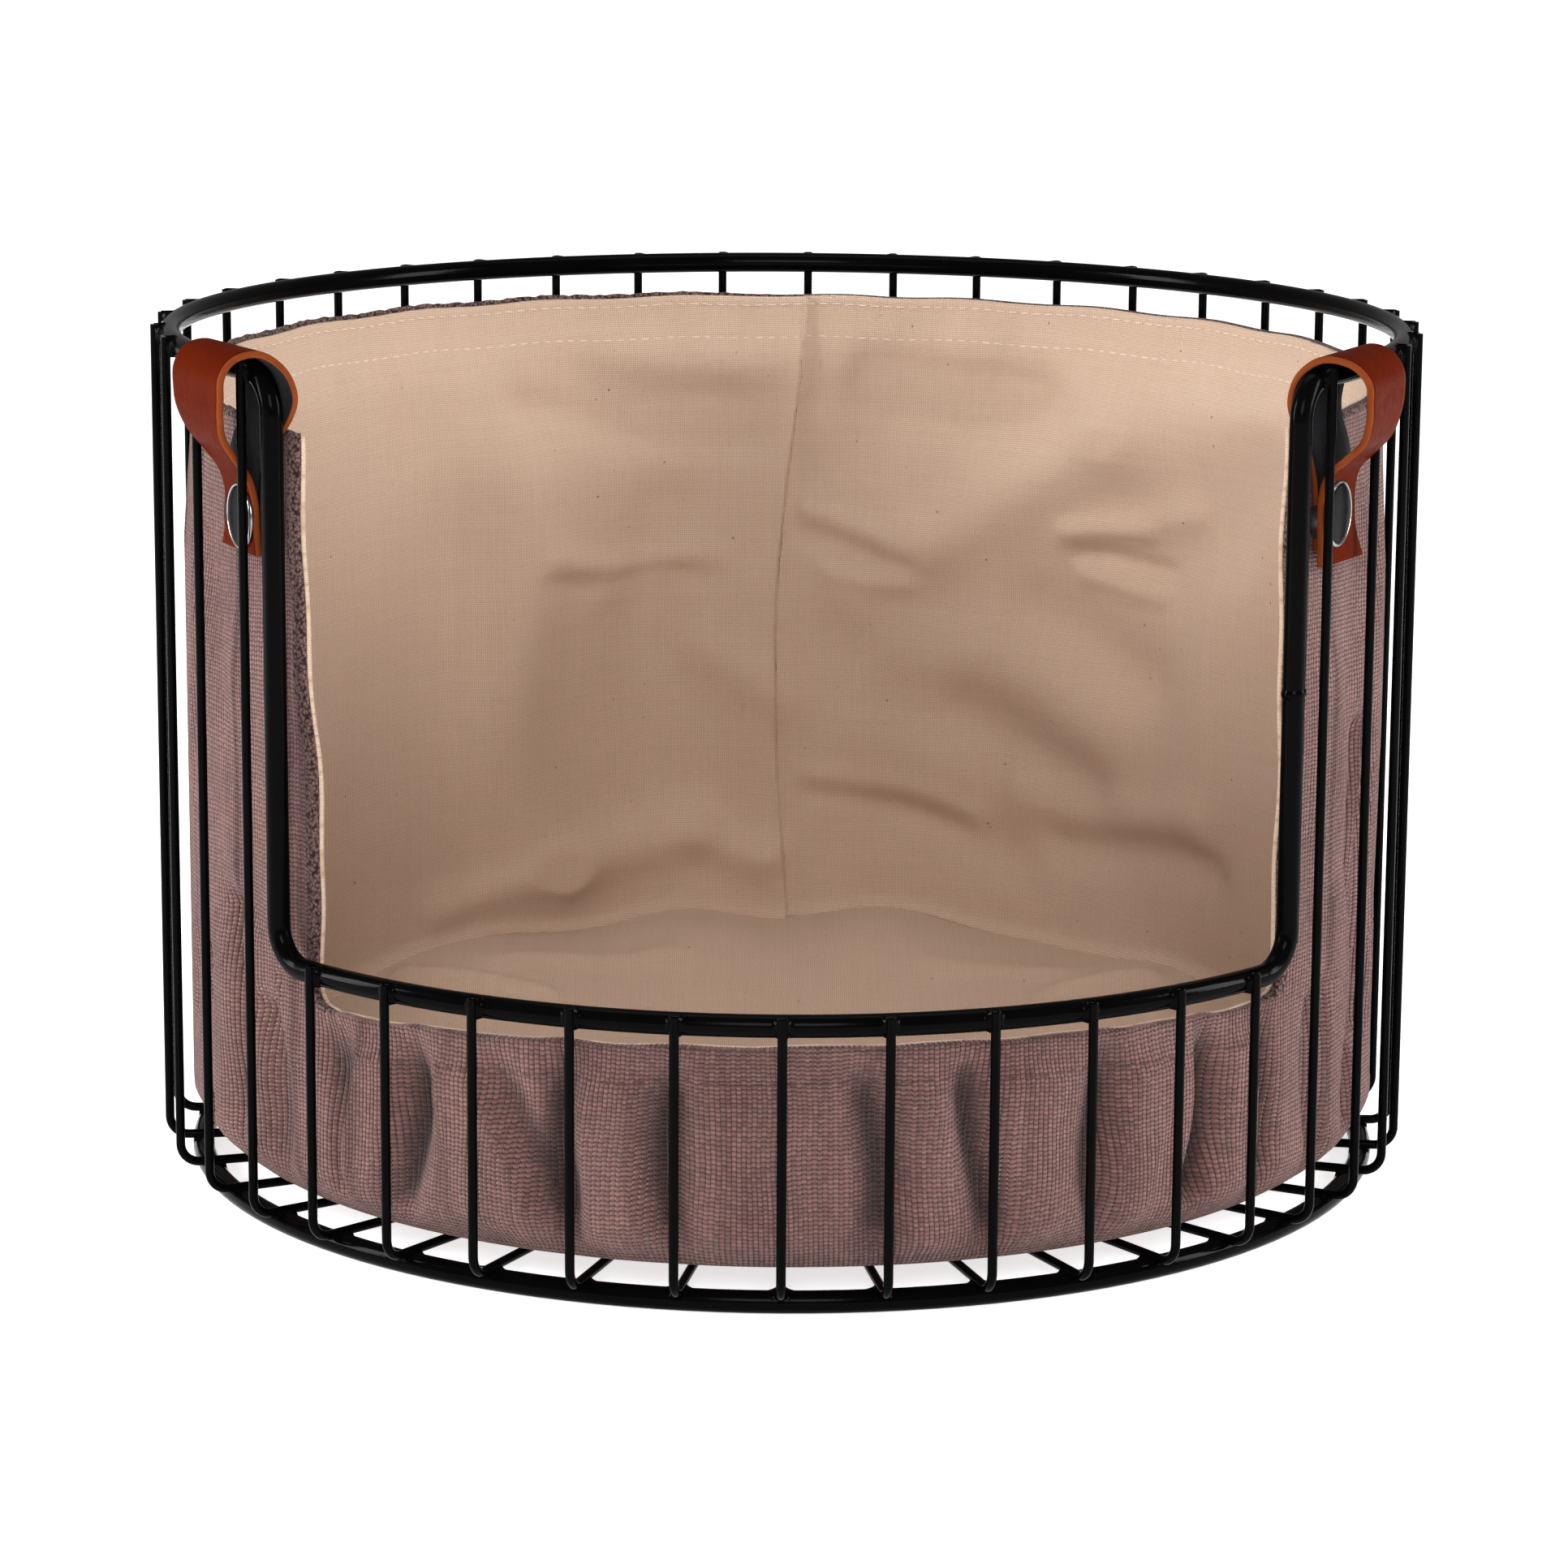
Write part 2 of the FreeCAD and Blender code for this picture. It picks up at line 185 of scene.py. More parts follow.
class Finish:
    """A Principled material, with short calls that add nodes to it."""

    def __init__(self, name, **constants):
        self.material = bpy.data.materials.new(name)
        self.material.use_nodes = True
        self.tree = self.material.node_tree
        self.shader = self.tree.nodes["Principled BSDF"]
        for socket, value in constants.items():
            self.shader.inputs[socket.replace("_", " ")].default_value = value

    def node(self, kind, inputs=(), **settings):
        made = self.tree.nodes.new("ShaderNode" + kind)
        for name, value in settings.items():
            setattr(made, name, value)
        for socket, value in dict(inputs).items():
            self.feed(made.inputs[socket], value)
        return made

    def feed(self, socket, value):
        if isinstance(value, bpy.types.NodeSocket):
            self.tree.links.new(value, socket)
        else:
            socket.default_value = value

    def math(self, operation, *values):
        return self.node("Math", dict(enumerate(values)), operation=operation).outputs[0]

    def plus(self, a, b):
        return self.math("ADD", a, b)

    def times(self, a, b):
        return self.math("MULTIPLY", a, b)

    def vector(self, operation, a, b):
        return self.node("VectorMath", {0: a, 1: b}, operation=operation).outputs[0]

    def blend(self, share, low, high):
        """A colour between two colours."""
        mixer = self.node("Mix", data_type="RGBA")
        self.feed(mixer.inputs[0], share)
        self.feed(mixer.inputs[6], low)
        self.feed(mixer.inputs[7], high)
        return mixer.outputs[2]

    def between(self, value, low, high, start=0.0, end=1.0):
        """A value carried from one range to another, and clamped there."""
        return self.node("MapRange", {"Value": value, "From Min": low, "From Max": high,
                                      "To Min": start, "To Max": end}).outputs[0]

    def noise(self, where, scale, detail=2.0, roughness=0.5):
        return self.node("TexNoise", {"Vector": where, "Scale": scale, "Detail": detail,
                                      "Roughness": roughness}).outputs["Fac"]

    def cells(self, where, scale):
        return self.node("TexVoronoi", {"Vector": where, "Scale": scale}).outputs

    def object_place(self):
        return self.node("TexCoord").outputs["Object"]

    def finish(self, colour=None, roughness=None, height=None, depth=0.0):
        """Connect the outputs.  height is from 0 to 1, and depth is its size in metres."""
        if colour is not None:
            self.feed(self.shader.inputs["Base Color"], colour)
        if roughness is not None:
            self.feed(self.shader.inputs["Roughness"], roughness)
        if height is not None:
            bump = self.node("Bump", {"Height": height, "Distance": depth, "Strength": 1.0})
            self.tree.links.new(bump.outputs["Normal"], self.shader.inputs["Normal"])
        return self.material


def mottled(name, tone, low, high, rough, depth, grain=None, span=(0.3, 0.7), **constants):
    """A material that a noise mottles between two colours and two roughnesses.  tone and grain
    are a noise's scale, detail and roughness.  grain makes the relief, or else tone does."""
    paint = Finish(name, **constants)
    where = paint.object_place()
    spots = paint.noise(where, *tone)
    relief = paint.noise(where, *grain) if grain else spots
    return paint.finish(paint.blend(spots, low, high), paint.between(spots, *span, *rough),
                        relief, depth)


def woven(name, pitch, along, gap, yarn_low, yarn_high, depth, wander,
          flecks=None, sheen=0.15, floats=False):
    """A weave laid out along the UV map, which is in metres.

    pitch is the distance between yarns, and along packs them closer upright.  gap is the colour
    of the holes, and each yarn has its own shade between yarn_low and yarn_high.  It is a plain
    weave, or with floats, one where only the upright yarns show, in columns of staggered crowns.
    """
    # how square a yarn is, its own and the clouds' share of the tone, and the heights of a hole
    square, own, clouds, shut, full = ((4.0, 0.12, 0.5, 0.2, 0.55) if floats
                                       else (2.6, 0.35, 0.38, 0.06, 0.5))
    cloth = Finish(name, Sheen_Weight=sheen, Sheen_Roughness=0.5, Specular_IOR_Level=0.1)
    plus, times = cloth.plus, cloth.times
    place = cloth.node("UVMap", uv_map="UVMap").outputs["UV"]
    drift = cloth.node("TexNoise", {"Vector": place, "Scale": 25.0, "Detail": 1.0}).outputs["Color"]
    shift = cloth.vector("ADD", drift, (-0.5, -0.5, -0.5))
    push = cloth.node("VectorMath", {0: shift, "Scale": wander}, operation="SCALE").outputs[0]
    split = cloth.node("SeparateXYZ", {0: cloth.vector("ADD", place, push)})
    x = times(split.outputs[0], 1 / pitch)
    y = times(split.outputs[1], along / pitch)
    column = cloth.math("FLOOR", x)
    if floats:
        y = plus(y, times(cloth.math("FLOORED_MODULO", column, 2.0), 0.16))
    row = cloth.math("FLOOR", y)
    in_column = cloth.math("SUBTRACT", cloth.math("FRACT", x), 0.5)
    in_row = cloth.math("SUBTRACT", cloth.math("FRACT", y), 0.5)
    weft_up = 0.0 if floats else cloth.math("FLOORED_MODULO", plus(column, row), 2.0)
    warp_up = cloth.math("SUBTRACT", 1.0, weft_up)

    def yarn(side, length):
        """Height of a yarn that crosses over here: round across, crowned along."""
        off = cloth.math("POWER", cloth.math("ABSOLUTE", times(side, 2.0)), square)
        body = cloth.math("MAXIMUM", cloth.math("SUBTRACT", 1.0, off), 0.0)
        crown = cloth.math("MAXIMUM", cloth.math("COSINE", times(length, math.pi * 0.9)), 0.0)
        if floats:
            body = cloth.math("MULTIPLY_ADD", body, 0.86, 0.14)
            crown = cloth.math("POWER", crown, 0.6)
        return times(body, crown)

    def shade(across, up):
        """A random value for each whole number across and up."""
        cell = cloth.node("CombineXYZ", {0: across, 1: up}).outputs[0]
        return cloth.node("TexWhiteNoise", {"Vector": cell}, noise_dimensions="2D").outputs["Value"]

    height = plus(times(yarn(in_column, in_row), warp_up),
                  times(times(yarn(in_row, in_column), 0.8), weft_up))
    strand = shade(times(column, warp_up), times(row, weft_up))
    cloudy = times(cloth.noise(place, 38.0, 3.0), clouds)
    tone = plus(times(shade(column, row), 0.28), plus(times(strand, own), cloudy))
    open_part = cloth.between(height, shut, full, 1.0, 0.0)
    colour = cloth.blend(open_part, cloth.blend(tone, yarn_low, yarn_high), gap)
    if floats:
        between_columns = cloth.between(cloth.math("ABSOLUTE", in_column), 0.34, 0.44)
        short = cloth.between(cloth.math("ABSOLUTE", in_row), 0.14, 0.3, 1.0, 0.0)
        stretched = cloth.between(cloth.noise(place, 24.0, 2.0), 0.42, 0.6, 0.0, 0.75)
        glint = times(times(between_columns, short), stretched)
        colour = cloth.blend(glint, colour, (0.6, 0.42, 0.37, 1))
        # painted shade: where the cloth lies deep in a fold, the weave is darkened towards the gap
        # colour
        hollow = cloth.node("Attribute", attribute_name="hollow").outputs["Fac"]
        colour = cloth.blend(times(hollow, 0.75), colour, gap)
    if flecks:
        seed = cloth.cells(place, 210.0)
        spot = cloth.between(seed["Distance"], 0.03, 0.085, 1.0, 0.0)
        pick = cloth.between(cloth.node("SeparateColor", {0: seed["Color"]}).outputs[0], 0.55, 1.0)
        colour = cloth.blend(times(spot, pick), colour, flecks)
        slub = times(*(cloth.noise(cloth.vector("MULTIPLY", place, stretch), 1.0, 2.0, 0.6)
                       for stretch in ((900.0, 55.0, 1.0), (55.0, 900.0, 1.0))))
        colour = cloth.blend(cloth.between(slub, 0.3, 0.52, 0.0, 0.3), colour, gap)
    relief = plus(times(height, 0.9), times(cloth.noise(place, 5000.0, 2.0), 0.1))
    return cloth.finish(colour, cloth.between(height, 0.0, 1.0, 0.95, 0.78), relief, depth)


def leather(name, low, high, roughness, depth):
    """Smooth full-grain leather: fine pebbles, faint creases and uneven dye."""
    hide = Finish(name, Specular_IOR_Level=0.006)
    where = hide.object_place()
    pores = hide.cells(where, 1700.0)["Distance"]
    dye = hide.noise(where, 110.0, 4.0, 0.6)
    crease = hide.noise(where, 420.0, 3.0, 0.65)
    relief = hide.plus(hide.times(pores, 0.45), hide.times(crease, 0.55))
    return hide.finish(hide.blend(dye, low, high),
                       hide.between(crease, 0.3, 0.7, roughness - 0.07, roughness + 0.07),
                       relief, depth)


def pile(name, low, high):
    """Cut ends of yarn along a raw edge."""
    ends = Finish(name, Sheen_Weight=0.1, Specular_IOR_Level=0.05)
    tufts = ends.cells(ends.object_place(), 1300.0)
    lift = ends.between(tufts["Distance"], 0.1, 0.75, 1.0, 0.0)
    return ends.finish(ends.blend(lift, low, high), ends.between(lift, 0.0, 1.0, 0.95, 0.8),
                       lift, 0.0005)


# satin black paint on wire, with a faint orange peel and a little rubbed brightness
WIRE = mottled("powder_coat", (60.0, 3.0, 0.6), (0.0006, 0.0006, 0.0008, 1),
               (0.0018, 0.0017, 0.0018, 1), (0.11, 0.18), 0.00002, grain=(900.0,),
               Specular_IOR_Level=0.022)
OUTER = woven("outer_weave", 1.1 * MM, 1.1, (0.004, 0.002, 0.002, 1),
              (0.07, 0.026, 0.024, 1), (0.35, 0.168, 0.148, 1), 0.001, 0.006, floats=True)
LINING = woven("lining_canvas", 0.5 * MM, 1.0, (0.40, 0.265, 0.18, 1),
               (0.54, 0.385, 0.285, 1), (0.64, 0.48, 0.375, 1), 0.00012, 0.003,
               flecks=(0.12, 0.06, 0.035, 1), sheen=0.1)
COGNAC = leather("cognac_leather", (0.05, 0.004, 0.0003, 1), (0.088, 0.0085, 0.0006, 1),
                 0.45, 0.00008)
CUT_EDGE = leather("leather_edge", (0.13, 0.026, 0.007, 1), (0.21, 0.05, 0.015, 1), 0.5, 0.0001)
# the rough back of the leather
SUEDE = mottled("leather_back", (1500.0, 4.0, 0.7), (0.0015, 0.0015, 0.002, 1),
                (0.016, 0.017, 0.022, 1), (0.8, 0.95), 0.0003, Sheen_Weight=0.08,
                Sheen_Roughness=0.4, Specular_IOR_Level=0.05)
# nickel-plated snap parts with fine turning marks, and the black face of the cap
STEEL = mottled("snap_steel", (220.0, 3.0), (0.22, 0.215, 0.21, 1), (0.34, 0.335, 0.33, 1),
                (0.12, 0.28), 0.000015, grain=(1400.0,), Metallic=1.0)
LACQUER = mottled("snap_lacquer", (300.0, 3.0), (0.003, 0.003, 0.0035, 1),
                  (0.006, 0.006, 0.0065, 1), (0.16, 0.24), 0.00002, Specular_IOR_Level=0.012)
FRAYED = pile("frayed_edge", (0.02, 0.01, 0.009, 1), (0.23, 0.13, 0.115, 1))
PALE_THREAD, MAUVE_THREAD = (
    mottled(name, (2600.0,), low, high, (0.5, 0.75), 0.0001, span=(0.0, 1.0),
            Sheen_Weight=0.1, Specular_IOR_Level=0.1)
    for name, low, high in (
        ("pale_thread", (0.55, 0.42, 0.34, 1), (0.78, 0.65, 0.57, 1)),
        ("mauve_thread", (0.05, 0.025, 0.025, 1), (0.14, 0.075, 0.075, 1))))


# ---------------- the liner's shape

RANDOM = np.random.default_rng(7)
PLEAT_PHASES = RANDOM.uniform(0, 2 * math.pi, 6)


def waves(azimuth, turns, phases, sizes):
    """A sum of waves round the liner.  turns are whole numbers of waves in one turn."""
    return sum(size * np.sin(np.radians(azimuth) * turn + phase)
               for turn, phase, size in zip(turns, phases, sizes))


def strokes(azimuth, height, marks):
    """A sum of soft ridges.  A mark is (azimuth, height, azimuth, height, width, depth), from one
    end to the other, with lengths in millimetres."""
    total = np.zeros(np.broadcast(azimuth, height).shape)
    for start, low, end, high, width, depth in marks:
        across = np.radians(around_to(azimuth, start)) * LINER_RADIUS / MM
        up = height / MM - low
        run = math.radians(around_to(end, start)) * LINER_RADIUS / MM
        rise = high - low
        share = np.clip((across * run + up * rise) / max(run * run + rise * rise, 1e-9), 0, 1)
        away = np.hypot(across - share * run, up - share * rise)
        total = total + depth * MM * np.exp(-(away / width) ** 2)
    return total


def hem_height(azimuth):
    """The liner's top edge: it sags a little towards the two ends."""
    aside = (180 - from_front(azimuth)) / 130
    left = smooth(180, 250, azimuth % 360)
    return (LINER_TOP - (4.2 + 1.8 * left) * MM * aside ** 3
            + 0.25 * MM * np.sin(np.radians(azimuth * 23)))


def outer_hem_height(azimuth):
    """The outer cloth's frayed top edge stands a little above the lining, most on the left."""
    fray = waves(azimuth, (97, 171, 263), PLEAT_PHASES, (0.12 * MM, 0.12 * MM, 0.1 * MM))
    left = smooth(176, 200, azimuth % 360)
    return hem_height(azimuth) + 0.15 * MM + (0.75 * MM + fray) * left


def front_hem_height(azimuth):
    """The hem across the drop front: highest in the middle."""
    sag = 4.2 * MM * (np.abs(around_to(azimuth, 8)) / 55) ** 2
    return 58.5 * MM - sag + 0.2 * MM * np.sin(np.radians(azimuth * 31))


def wander(height):
    """How far the back seam strays round the liner, in degrees, at a height."""
    up = (height - 20 * MM) / (LINER_TOP - 20 * MM)
    return -2.2 * smooth(0.45, 1.0, up) + 1.1 * np.sin(up * math.pi) - 0.6 * smooth(0.3, 0.0, up)


def near_strap(azimuth):
    """1 beside a strap, falling to 0 about 13 degrees from its middle."""
    return sum(smooth(13.0, 8.0, np.abs(around_to(azimuth, side * STRAP_AZIMUTH)))
               for _, side in STRAPS)


# How much deeper the folds are than the marks below say, and the limits of the cloths' relief.
OUTER_FOLDS, LINING_FOLDS = 2.2, 1.5
OUTER_LIMITS, LINING_LIMITS = (-6.0 * MM, 2.2 * MM), (0, 11 * MM)

OUTER_MARKS = (
    # upright folds between the front ribs, each with a sharp valley beside a round swelling
    (-45.5, 50, -45, 16, 4.2, -2.4), (-41, 44, -42, 14, 6.0, 1.6),
    (-35.5, 52, -36.5, 16, 4.2, -2.6), (-31, 42, -27, 18, 6.5, 1.9),
    (-25.5, 50, -22, 26, 5.1, -1.8), (-19.5, 53, -20.5, 12, 4.2, -2.6),
    (-15, 42, -15.5, 14, 6.5, 1.8), (-10.4, 52, -9.6, 10, 4.5, -2.2), (-2, 40, 0, 14, 8.0, 1.1),
    (7.6, 52, 8.4, 14, 4.5, -2.4), (13, 44, 12.5, 16, 5.0, 1.5), (17.2, 52, 18.6, 12, 3.8, -2.6),
    (23.5, 46, 23, 14, 6.0, 1.6), (29.5, 54, 30.2, 14, 3.8, -2.4), (35, 46, 34, 16, 5.5, 1.6),
    (42.4, 54, 41.4, 18, 3.2, -3.0), (47.5, 46, 46, 16, 5.0, 1.4),
    (51.5, 54, 50.5, 14, 3.5, -2.4),
    # larger folds down both sides
    (-56, 50, -54, 12, 4.0, -1.8), (-58, 64, -59, 18, 6.0, 1.2),
    (-62.5, 70, -61.5, 14, 4.5, -2.4), (-68, 60, -67, 18, 5.0, 0.8),
    (-71.5, 56, -70, 20, 4.2, -2.0), (-76, 150, -77, 40, 3.0, -0.8),
    (60, 52, 60.5, 14, 4.0, -1.8), (64, 70, 64, 16, 5.0, 1.0), (68.5, 110, 70, 20, 4.2, -2.4),
    (75, 150, 73, 40, 5.4, -1.8), (80, 90, 81, 30, 4.8, -1.6),
)


def below_edge(azimuth, height):
    """The distance down from the top edge, which is the front hem across the drop front."""
    low = (from_front(azimuth) < 54) & (height < 60 * MM)
    return np.where(low, front_hem_height(azimuth), hem_height(azimuth)) - height


def off_cut(azimuth, height, reach):
    """0 along the upright edges of the drop front, rising to 1 at reach degrees away."""
    near = np.minimum(np.abs(around_to(azimuth, CUT_LEFT)), np.abs(around_to(azimuth, CUT_RIGHT)))
    return 1 - smooth(50 * MM, 60 * MM, height) * (1 - smooth(0.3, reach, near))


def outer_relief(azimuth, height):
    """How far the outer cloth stands out from its plain cylinder."""
    up = smooth(LINER_BASE, LINER_BASE + 14 * MM, height)
    below_hem = smooth(0, 14 * MM, below_edge(azimuth, height))
    aside = smooth(54, 72, from_front(azimuth))
    leans_out = (0.6 + 1.5 * aside) * MM * smooth(LINER_TOP, 130 * MM, height)
    pleats = waves(azimuth, (21, 38, 29, 47), PLEAT_PHASES,
                   (0.15 * MM, 0.3 * MM, 0.2 * MM, 0.2 * MM))
    ripple = waves(azimuth + height / MM * 0.12, (33, 58), PLEAT_PHASES[4:],
                   (0.2 * MM, 0.15 * MM))
    curl = azimuth + 0.7 * np.sin(height / (9 * MM) + azimuth / 6)
    marks = strokes(curl, height, OUTER_MARKS)
    pressed = near_strap(azimuth) * smooth(120 * MM, 145 * MM, height)
    free = up * (0.2 + 0.8 * below_hem) * (1 - pressed)
    free = free * off_cut(azimuth, height, 3)
    return np.clip((leans_out + pleats + ripple + OUTER_FOLDS * marks) * free, *OUTER_LIMITS)


LINING_MARKS = (
    # left of the back seam: a hollow under the hem, a broad upright swelling, bunching below
    (-158, 165, -176, 156, 11, -2.6), (-150, 176, -172, 172, 7, 1.0),
    (-146, 140, -150, 40, 17, 4.2), (-166, 130, -168, 50, 14, -2.6),
    (-152, 124, -160, 118, 4.6, 1.1), (-160, 112, -170, 120, 6, 0.8),
    (-138, 34, -152, 36, 6, 1.4), (-152, 36, -168, 48, 7, 2.6), (-168, 48, -178, 40, 6, 2.0),
    (-172, 92, -178, 84, 7, 1.2), (-124, 150, -130, 60, 16, 1.0),
    # right of it: the long diagonal fold that hangs from the strap, over a deep hollow
    (118, 172, 140, 152, 11, 2.6), (140, 152, 164, 126, 11, 3.0), (164, 126, 172, 112, 9, 2.0),
    (150, 164, 170, 163, 10, -4.0), (168, 150, 176, 140, 8, -1.0), (112, 150, 132, 128, 12, -1.4),
    (176, 130, 168, 128, 2.8, 1.1), (176, 124, 166, 121, 2.8, -1.1),
    (174, 117, 166, 115, 2.8, 0.9),
    # small creases below the fold
    (148, 128, 137, 132, 2.4, 1.3), (147, 122, 134, 124, 2.4, -1.5),
    (146, 117, 134, 118, 2.8, 1.1), (152, 106, 134, 96, 9, -2.2), (166, 96, 140, 82, 12, 2.4),
    (160, 78, 142, 66, 9, -2.0), (150, 62, 128, 58, 7, 1.8), (146, 50, 126, 46, 6, -1.6),
    (172, 72, 160, 62, 12, 1.6), (168, 50, 152, 46, 7, -1.2), (122, 118, 126, 66, 13, 1.6),
    (106, 140, 110, 50, 12, -1.0),
    # fine creases on both sides of the seam, and at the foot of the wall
    (-148, 123, -174, 117, 3.0, 0.7), (-150, 117, -172, 112, 3.0, -0.6),
    (-150, 158, -176, 151, 5.0, -1.6), (178, 63, 156, 52, 3.4, 0.8),
    (178, 57, 158, 47, 3.4, -0.6), (130, 140, 148, 125, 4.0, 1.2),
    # the two sides
    (-75, 140, -80, 60, 12, 1.4), (-95, 150, -98, 40, 12, -1.0), (-112, 130, -106, 60, 12, 1.2),
    (75, 140, 80, 60, 12, 1.4), (92, 130, 95, 50, 10, -1.0),
)


def lining_relief(azimuth, height):
    """How far the lining stands in from the outer cloth."""
    below = below_edge(azimuth, height)
    free = smooth(2 * MM, 22 * MM, below) * off_cut(azimuth, height, 9)
    behind = smooth(60, 110, from_front(azimuth))
    slack = (1.2 + 2.6 * behind) * MM + waves(
        azimuth + height / MM * 0.2, (7, 13, 19), PLEAT_PHASES, (0.5 * MM, 0.4 * MM, 0.25 * MM))
    curl = azimuth + 1.8 * np.sin(height / (17 * MM) + azimuth / 11)
    climb = height + 2.5 * MM * np.sin(azimuth / 6.0 + height / (23 * MM))
    marks = strokes(curl, climb, LINING_MARKS)
    off_seam = np.radians(around_to(azimuth, 180 + wander(height))) * LINER_RADIUS
    lap = np.where(off_seam > 0, 2.6 * MM * np.exp(-np.abs(off_seam) / (11 * MM)),
                   -1.2 * MM * np.exp(-np.abs(off_seam) / (6 * MM)))
    step = np.tanh(off_seam / (0.4 * MM)) * 0.5 + 0.5
    lap = lap * np.where(off_seam > 0, step, 1) * (0.35 + 0.65 * free)
    hem_tuck = 0.2 * MM * smooth(0.9 * MM, 0.0, np.abs(below - 10.5 * MM))
    return np.clip(slack + LINING_FOLDS * marks, *LINING_LIMITS) * free + lap - hem_tuck


def outer_base(azimuth):
    """Height of the seam between the outer cloth's wall and its floor."""
    return LINER_BASE + 0 * azimuth


def lining_base(azimuth):
    """Height of the seam between the lining's wall and its floor, which rides up at the back."""
    behind = smooth(50, 165, from_front(azimuth))
    uneven = waves(azimuth, (3, 7, 12, 17), PLEAT_PHASES, (0.8 * MM, 1.2 * MM, 1.3 * MM, 0.8 * MM))
    return LINER_BASE + OUTER_CLOTH + 0.8 * MM + behind * (14.5 * MM + uneven)


def lining_corner(azimuth):
    """Roundness of the lining's bottom edge: inside the outer cloth's in front, tight behind."""
    return (9.5 - 5 * smooth(60, 120, from_front(azimuth))) * MM


def corner_inset(corner, rise):
    """How far in a rounded corner stands, at a rise above its foot."""
    rise = np.clip(rise, 0, corner)
    return corner - np.sqrt(np.maximum(corner ** 2 - (corner - rise) ** 2, 0))


def outer_point(azimuth, height, bottom):
    """The outer cloth's outer face.  Its lower edge turns in round a corner."""
    inset = corner_inset(OUTER_CORNER, height - bottom)
    crease = 0.5 * MM * np.exp(-((height - bottom - 4.5 * MM) / (0.9 * MM)) ** 2)
    crease = crease * smooth(60, 20, from_front(azimuth))
    return polar(azimuth, LINER_RADIUS - inset + outer_relief(azimuth, height) - crease, height)


def lining_point(azimuth, height, bottom):
    """The lining's inner face.  It keeps inside the deepest part of the outer cloth near by."""
    inset = corner_inset(lining_corner(azimuth), height - bottom)
    beside = ((-1.8, 0), (-0.9, 0), (0, 0), (0.9, 0), (1.8, 0), (0, -1.6 * MM), (0, 1.6 * MM))
    deepest = np.min([outer_relief(azimuth + a, height + h) for a, h in beside], axis=0)
    follow = 1.05 * np.minimum(deepest, 0) - 0.5 * MM * smooth(-1 * MM, -4 * MM, deepest)
    relief = lining_relief(azimuth, height)
    pocket = LINING_CLOTH + np.maximum(relief, 0)
    lapped = np.minimum(relief, 0) * 0.6
    return polar(azimuth, HEM_SEAM - pocket - lapped - inset + follow, height)


# ---------------- the liner's sheets

def cut_edge(side, share):
    """Azimuth of one upright edge of the drop front.  share runs from 0, the front hem, to 1."""
    turn_in = corner_inset(CUT_ROUNDING, share * (LINER_TOP - BAND_HEIGHT))
    uneven = 0.3 * np.sin(share * 9 + side) + 0.2 * np.sin(share * 23 + 2 * side)
    uneven = uneven * smooth(0, 0.2, share)
    plain = CUT_RIGHT if side > 0 else CUT_LEFT - 2.4 * smooth(0.3, 1.0, share)
    return plain - side * (math.degrees(1) * turn_in / LINER_RADIUS + uneven)


